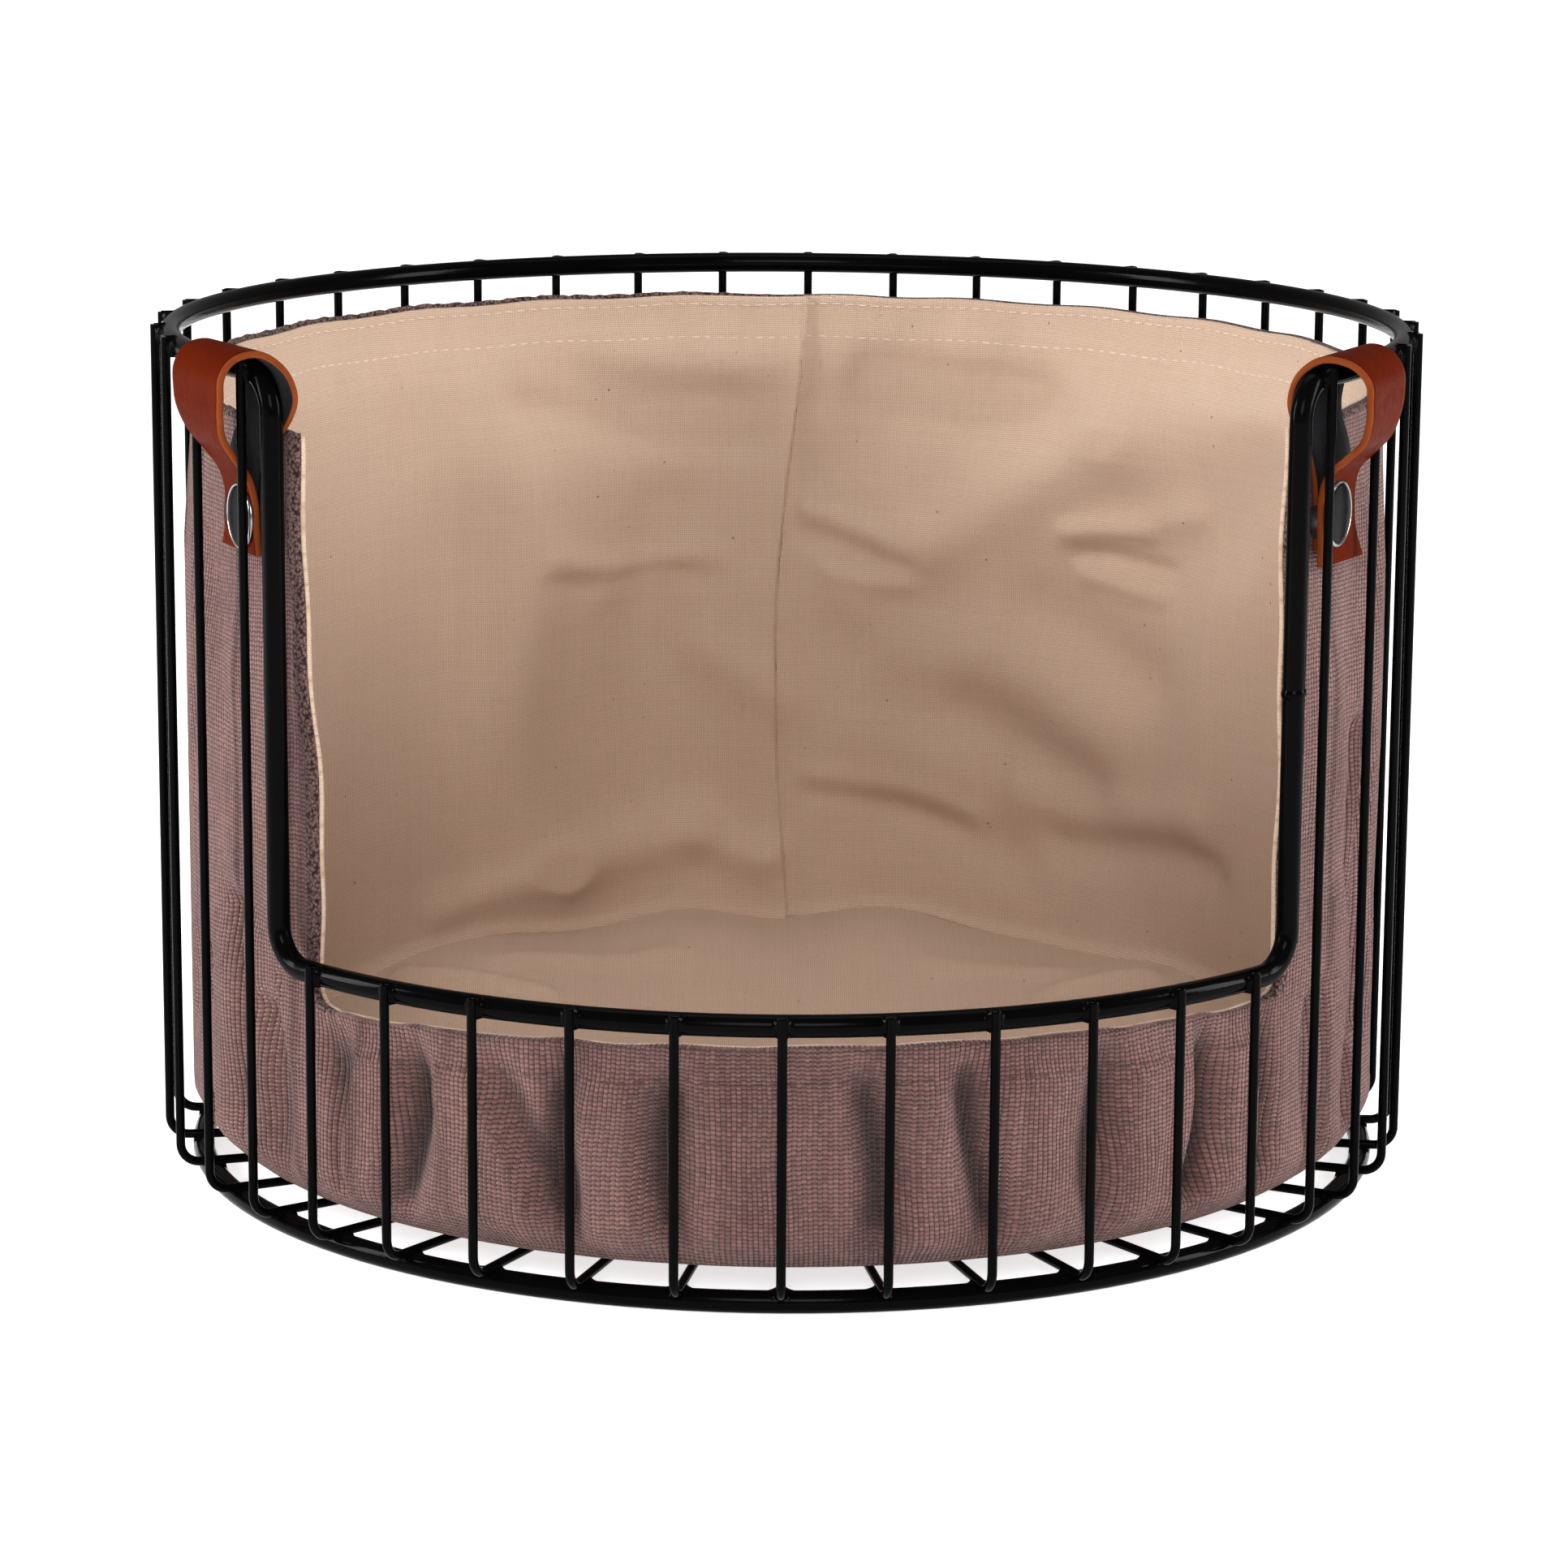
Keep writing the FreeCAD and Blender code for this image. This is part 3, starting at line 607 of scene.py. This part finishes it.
def wall_sheet(name, point, bottom, top, corner, spacing, materials):
    """One layer of the liner's wall: a full ring below the front hem, and above it the rest of
    the ring without the drop front.  The second material is for its cut edges.  It returns the
    piece and its flat width, length and area."""
    low_rows = int(BAND_HEIGHT / spacing)
    low_share = np.linspace(0, 1, low_rows)
    high_share = np.linspace(0, 1, int((LINER_TOP - BAND_HEIGHT) / spacing) + 1)[1:]
    front = math.radians(CUT_RIGHT - CUT_LEFT) * LINER_RADIUS
    front_columns = int(front / spacing)
    share = np.linspace(0, 1, int(2 * math.pi * LINER_RADIUS / spacing) - front_columns)
    seam = (180 - CUT_RIGHT) / (360 + CUT_LEFT - CUT_RIGHT)
    beside_seam = seam + np.linspace(-0.009, 0.009, 25)
    share = np.unique(np.concatenate([share[np.abs(share - seam) > 0.0095], beside_seam]))

    def band_edge(azimuth):
        """Height of the line between the two bands."""
        away = smooth(52, 90, from_front(azimuth))
        return front_hem_height(azimuth) * (1 - away) + BAND_HEIGHT * away

    def low_height(azimuth):
        return bottom(azimuth) + (band_edge(azimuth) - bottom(azimuth)) * low_share[:, None]

    starts = np.concatenate([np.zeros(low_rows), high_share])
    near, far = cut_edge(1, starts)[:, None], cut_edge(-1, starts)[:, None] + 360
    azimuth_back = near + (far - near) * share[None, :]
    high = azimuth_back[low_rows:]
    height_back = np.concatenate([
        low_height(azimuth_back[:low_rows]),
        band_edge(high) + (top(high) - band_edge(high)) * high_share[:, None]])
    follow_seam = np.exp(-(around_to(azimuth_back, 180) / 12) ** 2)
    azimuth_back = azimuth_back + wander(height_back) * follow_seam

    between = np.linspace(far[0, 0] - 360, near[0, 0], front_columns)[1:-1]
    azimuth_front = np.repeat(between[None, :], low_rows, axis=0)
    height_front = low_height(azimuth_front)

    azimuth = np.concatenate([azimuth_back.ravel(), azimuth_front.ravel()])
    height = np.concatenate([height_back.ravel(), height_front.ravel()])
    points = point(azimuth, height, bottom(azimuth))

    back_ids = np.arange(azimuth_back.size).reshape(azimuth_back.shape)
    front_ids = np.arange(azimuth_front.size).reshape(azimuth_front.shape) + azimuth_back.size
    ring = np.concatenate([back_ids[:low_rows], front_ids], axis=1)
    after = np.roll(ring, -1, axis=1)
    upper = back_ids[low_rows - 1:]
    faces = [np.stack([ring[:-1], after[:-1], after[1:], ring[1:]], -1).reshape(-1, 4),
             np.stack([upper[:-1, :-1], upper[:-1, 1:], upper[1:, 1:], upper[1:, :-1]],
                      -1).reshape(-1, 4)]
    turn = 2 * math.pi * LINER_RADIUS
    kinds = np.zeros((upper.shape[0] - 1, upper.shape[1] - 1), int)
    kinds[:, :2] = kinds[:, -2:] = kinds[-1:, :] = 1
    item = new_piece(name, points, np.concatenate(faces), materials,
                     np.stack([np.radians(azimuth) * LINER_RADIUS, height], -1), turn,
                     np.concatenate([np.zeros(len(faces[0]), int), kinds.ravel()]))
    length = LINER_TOP - float(np.mean(bottom(np.arange(0, 360, 5.0)))) + corner * (math.pi / 2 - 1)
    return item, (turn, length), turn * length - front * (LINER_TOP - BAND_HEIGHT)


def floor_sheet(name, edge_radius, edge_height, middle_height, flat_rim, spacing, material,
                marks=()):
    """A floor disc.  Its edge meets the wall's lower edge, level over flat_rim of the radius.
    A mark is (x, y, x, y, width, rise) from one end to the other, in millimetres."""
    radius = float(np.mean(edge_radius(np.arange(0, 360, 5.0))))
    rings, columns = int(radius / spacing), int(2 * math.pi * radius / spacing / 2) * 2
    azimuth = np.arange(columns) * 360 / columns
    share = np.linspace(1, 0.02, rings)[:, None]
    edge = edge_height(azimuth)[None, :]
    settle = smooth(0.35, 1 - flat_rim, share)
    height = middle_height + (edge - middle_height) * settle * share ** 0.5
    radii = edge_radius(azimuth)[None, :] * share
    flat = polar(np.repeat(azimuth[None, :], rings, 0), radii, height)
    for x0, y0, x1, y1, width, rise in marks:
        along = np.array([x1 - x0, y1 - y0], float)
        away = flat[..., :2] / MM - np.array([x0, y0])
        part = np.clip(away @ along / (along @ along), 0, 1)[..., None]
        distance = np.linalg.norm(away - part * along, axis=-1)
        flat[..., 2] += rise * MM * np.exp(-(distance / width) ** 2) * smooth(1.0, 0.93, share)
    points = np.concatenate([flat.reshape(-1, 3), [[0, 0, middle_height]]])
    faces = [tuple(f) for f in grid_faces(rings, columns, closed=True)]
    last = (rings - 1) * columns
    faces += [(last + i, last + (i + 1) % columns, rings * columns) for i in range(columns)]
    item = new_piece(name, points, faces, [material], points[:, :2])
    return item, (2 * radius, 2 * radius), math.pi * radius ** 2


FLOOR_MARKS = ((-96, 74, -60, 66, 3.5, 2.2), (-70, 84, -30, 96, 5, 1.6), (92, 76, 70, 70, 4, 2.0),
               (40, 92, 70, 84, 5, 1.4), (-20, 60, 30, 30, 18, -1.5), (-60, -20, 10, 10, 22, 1.6))


def paint_fold_shade(item):
    """Note on each point how deep it lies in a fold, for painted shade on the coarse weave."""
    points = np.array([v.co for v in item.data.vertices])
    depth = LINER_RADIUS - 0.6 * MM - np.hypot(points[:, 0], points[:, 1])
    above_corner = smooth(LINER_BASE + 5 * MM, LINER_BASE + 14 * MM, points[:, 2])
    layer = item.data.attributes.new("hollow", "FLOAT", "POINT")
    layer.data.foreach_set("value", (smooth(0, 4.4 * MM, depth) * above_corner).astype(np.float32))


def liner():
    """Four sheets of cloth, each in the place of its plain CAD solid."""
    def outer_floor_edge(azimuth):
        return LINER_RADIUS - OUTER_CORNER + 0 * azimuth

    def lining_floor_height(azimuth):
        return lining_base(azimuth) + 0.9 * MM * smooth(40, 100, from_front(azimuth))

    def lining_floor_edge(azimuth):
        return HEM_SEAM - LINING_CLOTH - lining_corner(azimuth)

    made = [
        ("liner_outer_wall", "outer_cloth", OUTER_CLOTH, -1, "hung",
         ("strap_root_left", "strap_root_right"),
         wall_sheet("outer_wall_cloth", outer_point, outer_base, outer_hem_height, OUTER_CORNER,
                    1.6 * MM, [OUTER, FRAYED])),
        ("lining_wall", "lining_cloth", LINING_CLOTH, 1, "hung", ("outer_wall_cloth",),
         wall_sheet("lining_wall_cloth", lining_point, lining_base, hem_height,
                    lining_corner(90), 1.6 * MM, [LINING, LINING])),
        ("liner_outer_floor", "outer_cloth", OUTER_CLOTH, 1, "laid", ("rib_00",),
         floor_sheet("outer_floor_cloth", outer_floor_edge, outer_base, LINER_BASE, 0,
                     4 * MM, OUTER)),
        ("lining_floor", "lining_cloth", LINING_CLOTH, -1, "laid", ("outer_floor_cloth",),
         floor_sheet("lining_floor_cloth", lining_floor_edge, lining_floor_height,
                     LINER_BASE + 5 * MM, 0.1, 1.8 * MM, LINING, FLOOR_MARKS)),
    ]
    for node, slot, thickness, offset, held, rests_on, (item, flat, area) in made:
        # the outer wall gets the fold depths for its painted shade in the folds
        if node == "liner_outer_wall":
            paint_fold_shade(item)
        thicken(item, thickness, offset)
        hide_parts(node)
        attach(item, "liner")


# ---------------- stitching

def stitch_row(name, points, normals, length, material):
    """Short thread stitches along a line of points, half sunk in the cloth."""
    sides, steps, radius = 6, 5, 0.2 * MM
    along = np.gradient(points, axis=0)
    along /= np.linalg.norm(along, axis=1)[:, None]
    normals = normals / np.linalg.norm(normals, axis=1)[:, None]
    aside = np.cross(normals, along)
    tilt = RANDOM.normal(0, 0.07, len(points))[:, None]
    along = along + aside * tilt
    ring = np.linspace(0, 2 * math.pi, sides, endpoint=False)
    part = np.linspace(-1, 1, steps)
    thick = np.sqrt(np.clip(1 - (part * 0.94) ** 2, 0, 1))
    grids = []
    for centre, forward, up, right in zip(points, along, normals, aside):
        grids.append(centre + forward * part[:, None, None] * length / 2
                     + up * (np.cos(ring)[None, :, None] * thick[:, None, None] * radius)
                     + right * (np.sin(ring)[None, :, None] * thick[:, None, None] * radius))
    item = new_piece(name, *joined_grids(grids, steps, sides, closed=True), [material])
    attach(item, "liner")


def hem_stitches():
    """Two rows round the lining's top, one across the front hem and one round the outside."""
    def row(name, point, bottom, edge, below, start, end, pitch, sign, material):
        count = int(math.radians(end - start) * LINER_RADIUS / pitch)
        azimuth = np.linspace(start, end, count)
        height = edge(azimuth) - below
        centre = point(azimuth, height, bottom(azimuth))
        higher = point(azimuth, height + 1 * MM, bottom(azimuth))
        further = point(azimuth + 0.3, height, bottom(azimuth))
        normal = np.cross(further - centre, higher - centre) * sign
        outward = normal / np.linalg.norm(normal, axis=1)[:, None]
        stitch_row(name, centre + outward * 0.1 * MM, outward, pitch * 0.7, material)

    for name, below in (("lining_stitches_top", 2.2 * MM), ("lining_stitches_hem", 10.5 * MM)):
        row(name, lining_point, lining_base, hem_height, below,
            CUT_RIGHT + 3, 357 + CUT_LEFT, 3.4 * MM, -1, PALE_THREAD)
    row("outer_stitches_hem", outer_point, outer_base, hem_height, 9 * MM,
        CUT_RIGHT + 3, 357 + CUT_LEFT, 3.6 * MM, 1, MAUVE_THREAD)
    row("outer_stitches_front", outer_point, outer_base, front_hem_height, 8 * MM,
        CUT_LEFT + 2, CUT_RIGHT - 2, 3.6 * MM, 1, MAUVE_THREAD)


# ---------------- straps

# Points of a strap's middle line, as (radius, height, width of the leather) in millimetres.  It
# comes up the liner's outer face, over the rim, down outside it and in between two ribs.
STRAP_ROUTE = (
    (138.7, 155.5, 18.5), (138.7, 163.0, 18.5), (138.7, 171.0, 19.0), (138.6, 178.5, 20.0),
    (138.3, 185.0, 21.5), (138.1, 190.0, 22.5), (139.2, 195.4, 24.5), (142.8, 198.9, 27.0),
    (146.9, 197.9, 28.0), (149.5, 194.0, 28.0), (149.8, 189.0, 27.5), (149.7, 185.0, 25.5),
    (148.7, 180.5, 20.5), (145.7, 176.0, 17.4), (142.8, 171.5, 17.2), (141.6, 166.5, 17.6),
    (141.5, 160.0, 18.4), (141.5, 154.5, 22.0))
# At the same points: the shift towards the drop front in millimetres, and the twist, which turns
# the front edge outward, in degrees.
STRAP_SHIFTS = {
    "left": (-1.4, -1.2, 0.2, 4.2, 10.0, 11.0, 8.6, 4.2, 0.4, -0.8, -0.8, -0.4, 0.6, 1.4, 2.4, 3.0,
             3.2, 2.8),
    "right": (-5.0, -4.8, -3.8, -0.6, 4.2, 4.9, 3.2, 0.4, -2.2, -3.8, -4.0, -3.4, -2.0, -1.4, -0.9,
              -0.4, -0.9, -3.2)}
STRAP_TWISTS = {
    "left": (0, 0, 0, 0, -2, -4, -1, 1, 3, 4, 4, 4, 4, 5, 5, 5, 5, 5),
    "right": (0, 0, 0, 0, -2, -4, -1, 4, 8, 10, 10, 10, 8, 5, 3, 2, 2, 1)}
OUTER_LEG = {"left": 0.0, "right": 1.2}      # mm, how much further out the loop's outer leg hangs
TAIL_DROPS = {"left": 0.0, "right": 3.5}     # mm, how much lower its free end reaches
# The cap's shift towards the drop front, its rise, and its twist in degrees.
SNAPS = {"left": (4.6 * MM, 0.0, 5), "right": (1.0 * MM, 1.6 * MM, 5)}


def spline(knots, spacing):
    """A smooth line through knots, evenly spaced along its first two columns."""
    knots = np.asarray(knots, float)
    padded = np.concatenate([[2 * knots[0] - knots[1]], knots, [2 * knots[-1] - knots[-2]]])
    share = np.linspace(0, 1, 24, endpoint=False)[:, None]
    parts = []
    for before, start, end, after in zip(padded, padded[1:], padded[2:], padded[3:]):
        parts.append(0.5 * (2 * start + (end - before) * share
                            + (2 * before - 5 * start + 4 * end - after) * share ** 2
                            + (3 * start - before - 3 * end + after) * share ** 3))
    line = np.concatenate(parts + [knots[-1:]])
    run = np.concatenate([[0], np.cumsum(np.linalg.norm(np.diff(line[:, :2], axis=0), axis=1))])
    even = np.linspace(0, run[-1], int(run[-1] / spacing) + 1)
    return np.stack([np.interp(even, run, line[:, k]) for k in range(line.shape[1])], -1)


def strap_section(width):
    """The leather's outline across the strap: (across, out, part), where part is 0 for the outer
    face, 1 for the cut edges and 2 for the back."""
    half = LEATHER / 2
    inner = width / 2 - 0.55 * MM
    across = np.linspace(-1, 1, 15)
    groove = 0.16 * MM * np.exp(-((np.abs(across) * inner - (inner - 1.3 * MM)) / (0.35 * MM)) ** 2)
    outer = [(x * inner, half - g, 0) for x, g in zip(across, groove)]
    right = [(width / 2 - 0.12 * MM, half - 0.32 * MM, 1), (width / 2, 0, 1),
             (width / 2 - 0.12 * MM, -half + 0.25 * MM, 1)]
    back = [(x * (inner + 0.3 * MM), -half, 2) for x in across[::-2]]
    left = [(-x, y, 1) for x, y, _ in reversed(right)]
    return outer + right + back + left


def strap_mesh(side, route):
    """Sweep the section along part of the route: its points, faces and the faces' materials."""
    ahead = np.gradient(route[:, :2], axis=0)
    ahead /= np.linalg.norm(ahead, axis=1)[:, None]
    outward, sideways = directions(side * math.radians(STRAP_AZIMUTH))
    forward = -side * sideways
    rows = []
    for (radius, height, width, shift, twist), (run, rise) in zip(route, ahead):
        turn = math.radians(twist)
        aside = forward * math.cos(turn) + outward * math.sin(turn)
        out = outward * math.cos(turn) - forward * math.sin(turn)
        middle_point = outward * radius * MM + forward * shift * MM + np.array([0, 0, height * MM])
        rows.append([middle_point + aside * x - out * rise * y + np.array([0, 0, run * y])
                     for x, y, _ in strap_section(width * MM)])
    rows = np.array(rows)
    kinds = [k for _, _, k in strap_section(width * MM)]
    faces = grid_faces(len(rows), len(kinds), closed=True)
    if side < 0:
        faces = faces[:, ::-1]
    around = [1 if 1 in (a, b) else a for a, b in zip(kinds, kinds[1:] + kinds[:1])]
    return rows, faces, around * (len(rows) - 1)


def strap(name, side):
    """One strap: a loop that bends at the rim, and the tail, which rides on one body with the snap.
    """
    knots = np.column_stack([np.array(STRAP_ROUTE), STRAP_SHIFTS[name], STRAP_TWISTS[name]])
    knots[-2:, 1] -= np.array((0.5, 1.0)) * TAIL_DROPS[name]
    outside = knots[:, 0] > 140
    knots[:, 0] += OUTER_LEG[name] * smooth(143, 149, knots[:, 0])
    knots[:, 1] += SNAPS[name][1] / MM * smooth(180, 170, knots[:, 1]) * outside
    route = spline(knots, 0.8)
    cut = int(np.argmax((route[:, 0] > 149) & (route[:, 1] < 187.5)))
    materials = [COGNAC, CUT_EDGE, SUEDE]
    pieces = {}
    for part, chosen in (("loop", slice(0, cut + 1)), ("tail", slice(cut, None))):
        rows, faces, indexes = strap_mesh(side, route[chosen])
        columns = rows.shape[1]
        points = rows.reshape(-1, 3)
        end = range(len(points) - columns, len(points)) if part == "tail" else range(columns)
        lid = list(end) if (part == "tail") == (side > 0) else list(end)[::-1]
        faces = [tuple(f) for f in faces] + [tuple(lid)]
        indexes = list(indexes) + [1]
        item = new_piece("strap_%s_%s" % (part, name), points, faces, materials, indexes=indexes)
        pieces[part] = item
    at = [Vector(polar(side * STRAP_AZIMUTH, radius * MM, 199.6 * MM)) for radius in (139, 146)]
    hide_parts("strap_root_" + name)
    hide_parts("strap_tail_" + name)
    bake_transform(pieces["loop"])
    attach(pieces["tail"], "strap_" + name)


# ---------------- snap caps

def snap(name, side):
    """The cap, turned about the snap's axis: a black face in a bright rolled rim."""
    # (radius, distance out of the leather), from the middle to the edge of the back
    profile = [(1.5, 1.16), (3.0, 1.14), (4.6, 1.08), (5.9, 1.0), (6.55, 0.93), (6.7, 0.84),
               (6.8, 0.95), (7.0, 0.98), (7.22, 0.9), (7.43, 0.68), (7.5, 0.42), (7.46, 0.2),
               (7.3, 0.02), (6.0, -0.05)]
    profile = [(radius * MM, out * MM) for radius, out in profile]
    kinds = [0] * 5 + [1] * 8
    segments = 64
    shift, rise, twist = SNAPS[name]
    middle = side * math.radians(STRAP_AZIMUTH)
    away, along = directions(middle)
    outward, sideways = directions(middle + side * math.radians(twist))
    up = np.array([0, 0, 1])
    centre = up * (SNAP_HEIGHT + rise) + away * SNAP_RADIUS - along * side * shift
    ring = np.linspace(0, 2 * math.pi, segments, endpoint=False)
    rows = [[outward * out + centre + (sideways * math.cos(t) + up * math.sin(t)) * radius
             for t in ring] for radius, out in profile]
    points = np.concatenate([np.array(rows).reshape(-1, 3),
                             [outward * profile[0][1] + centre]])
    last = len(points) - 1
    faces = [tuple(f[::-1]) for f in grid_faces(len(profile), segments, closed=True)]
    faces += [(last, i, (i + 1) % segments) for i in range(segments)]
    indexes = list(np.repeat(kinds, segments)) + [kinds[0]] * segments
    item = new_piece("snap_cap_face_" + name, points, faces, [LACQUER, STEEL], indexes=indexes)
    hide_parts("snap_cap_" + name)
    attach(item, "strap_" + name)


# ---------------- welds

def rib_azimuths():
    """Each rib's azimuth, and whether it stops at the front rim, read from its own mesh."""
    found = []
    for name, item in sorted(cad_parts.items()):
        if name.startswith("rib_"):
            points = np.array([v.co for v in item.data.vertices])
            upright = points[points[:, 2] > SPOKE_HEIGHT + 10 * MM].mean(axis=0)
            azimuth = math.degrees(math.atan2(upright[0], -upright[1]))
            found.append((azimuth, points[:, 2].max() < RIM_HEIGHT / 2))
    return found


def fall(distance, width):
    """A weld's hollow slope, from 1 at the thin wire to 0 at its toe."""
    return np.clip(1 - distance / np.maximum(width, 1e-6), 0, 1) ** 2


def placed(azimuth, radius, aside, height):
    """Points beside a wire at an azimuth, by radius, sideways shift and height."""
    outward, sideways = directions(math.radians(azimuth))
    return (outward * radius[..., None] + sideways * aside[..., None]
            + np.array([0, 0, 1]) * height[..., None])


def rim_weld(azimuth, height):
    """The fillet between a rib and the rim's outer side, drawn up into two prongs at its top."""
    reach = RANDOM.uniform(1.3, 1.9, 2) * MM
    aside = np.linspace(-1, 1, 19)[None, :] * (LIGHT + 2.0 * MM)
    up = np.linspace(-0.93, 0.97, 13)[:, None] * HEAVY
    rim = RIM_RADIUS + np.sqrt(HEAVY ** 2 - up ** 2)
    chosen = np.where(aside < 0, reach[0], reach[1])
    width = chosen * np.sqrt(np.clip(1 - (up / HEAVY) ** 2, 0.05, 1)) * (1 + 0.25 * up / HEAVY)
    slope = fall(np.abs(aside) - LIGHT * 0.85, width)
    radius = rim + (RIB_RADIUS + 0.2 * LIGHT - rim) * slope - 0.05 * MM * (1 - slope)
    return placed(azimuth, radius, aside + 0 * up, height + up + 0 * aside)


def ring_weld(azimuth, ring_radius, reach, draw):
    """The fillet between a spoke and the ring under it, drawn out along the ring's inner side."""
    aside = np.linspace(-1, 1, 21)[None, :] * (LIGHT + reach * (1 + draw))
    off = np.linspace(-0.95, 0.95, 11)[:, None] * HEAVY
    top = HEAVY + np.sqrt(HEAVY ** 2 - off ** 2)
    uneven = RANDOM.uniform(0.7, 1.2, 2)
    width = reach * np.where(aside < 0, uneven[0], uneven[1])
    width = width * (1 + draw * smooth(0.2, -0.8, off / HEAVY))
    slope = fall(np.abs(aside) - LIGHT * 0.85, width)
    height = top + (SPOKE_HEIGHT + 0.25 * LIGHT - top) * slope - 0.05 * MM * (1 - slope)
    bend = aside ** 2 / (2 * ring_radius)
    return placed(azimuth, ring_radius + off - bend, aside + 0 * off, height)


def post_bead():
    """The butt weld half way up the right post of the rim: a low ring round the wire."""
    turn = math.radians(OPENING)
    radius = math.hypot(RIM_RADIUS, RIM_BEND)
    centre = np.array([math.sin(turn) * radius, -math.cos(turn) * radius, 126.4 * MM])
    ring = np.linspace(0, 2 * math.pi, 32, endpoint=False)
    up = np.linspace(-1, 1, 13)
    bulge = HEAVY - 0.04 * MM + 0.34 * MM * (1 - up ** 2) ** 1.5
    lean = 0.25 * MM * np.cos(ring - 0.6)
    return np.stack([centre[0] + bulge[:, None] * np.cos(ring)[None, :],
                     centre[1] + bulge[:, None] * np.sin(ring)[None, :],
                     centre[2] + up[:, None] * 1.3 * MM + lean[None, :]], -1)


def welds():
    """Every weld on the frame, as four pieces."""
    ribs = rib_azimuths()
    sets = {
        "rim_welds": ([rim_weld(a, FRONT_HEIGHT if low else RIM_HEIGHT) for a, low in ribs], False),
        "base_ring_welds": ([ring_weld(a, RING_RADIUS, 1.5 * MM, 1.9) for a, _ in ribs], False),
        "hub_ring_welds": ([ring_weld(a, HUB_RADIUS, 0.9 * MM, 0.3) for a, _ in ribs], False),
        "post_weld": ([post_bead()], True),
    }
    for name, (grids, closed) in sets.items():
        rows, columns = grids[0].shape[:2]
        item = new_piece(name, *joined_grids(grids, rows, columns, closed), [WIRE])
        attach(item, "frame")


# ---------------- the CAD pieces that stay

def dress_frame():
    """The materials of the wires and of the snap parts that stay as they are in the CAD."""
    for name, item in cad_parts.items():
        material = STEEL if name.startswith("snap_") else WIRE
        item.data.materials.clear()
        item.data.materials.append(material)


# ---------------- floor, light and camera

def studio():
    """A plain pale floor that is brightest far from the bin, soft light and a dim surround."""
    world = bpy.data.worlds.new("surround")
    scene.world = world
    world.use_nodes = True
    glow = world.node_tree.nodes["Background"].inputs
    glow[0].default_value, glow[1].default_value = (1, 1, 1, 1), 0.3

    paint = Finish("pale_floor", Roughness=0.9, Specular_IOR_Level=0.1, Emission_Color=(1, 1, 1, 1))
    place = paint.object_place()
    floor_colour = paint.blend(paint.noise(place, 3.0), (0.9, 0.9, 0.9, 1), (0.92, 0.92, 0.92, 1))
    away = paint.node("VectorMath", {0: place}, operation="LENGTH").outputs["Value"]
    paint.feed(paint.shader.inputs["Emission Strength"], paint.between(away, 0.1, 0.7, 0.7, 0.95))
    half = 60.0  # metres, far enough that the floor fills the view
    corners = [(-half, -half, 0), (half, -half, 0), (half, half, 0), (-half, half, 0)]
    new_piece("floor", corners, [(0, 1, 2, 3)], [paint.finish(floor_colour)])

    def panel(name, place, target, size, power):
        lamp = bpy.data.lights.new(name, "AREA")
        lamp.shape = "RECTANGLE"
        lamp.size, lamp.size_y = size
        lamp.energy = power
        item = add(name, lamp)
        item.location = place
        item.rotation_euler = (Vector(target) - Vector(place)).to_track_quat("-Z", "Y").to_euler()

    panel("key", (0.0, -1.28, 0.72), (0, 0.1, 0.08), (0.5, 0.5), 10)
    panel("left_side", (-1.2, -0.12, 0.5), (0, 0, 0.08), (0.3, 0.7), 17)
    panel("right_side", (1.2, -0.12, 0.5), (0, 0, 0.08), (0.3, 0.7), 14)
    panel("overhead", (0.0, 0.2, 1.2), (0, 0.05, 0.1), (0.8, 0.5), 2.5)


def camera():
    """The camera stands in front of the bin, a little above it, and looks down slightly."""
    lens = bpy.data.cameras.new("camera")
    lens.lens = 116.8
    lens.sensor_width = 36.0
    lens.clip_start, lens.clip_end = 0.05, 30
    item = add("camera", lens)
    tilt = Matrix.Rotation(math.radians(90 - 11.93), 4, "X")
    item.matrix_world = (Matrix.Translation((0, -1.1787, 0.3355)) @ tilt
                         @ Matrix.Rotation(0.0062, 4, "Z"))
    scene.camera = item


scene.view_settings.view_transform = "Standard"
dress_frame()
liner()
hem_stitches()
for strap_name, strap_side in STRAPS:
    strap(strap_name, strap_side)
    snap(strap_name, strap_side)
welds()
studio()
camera()
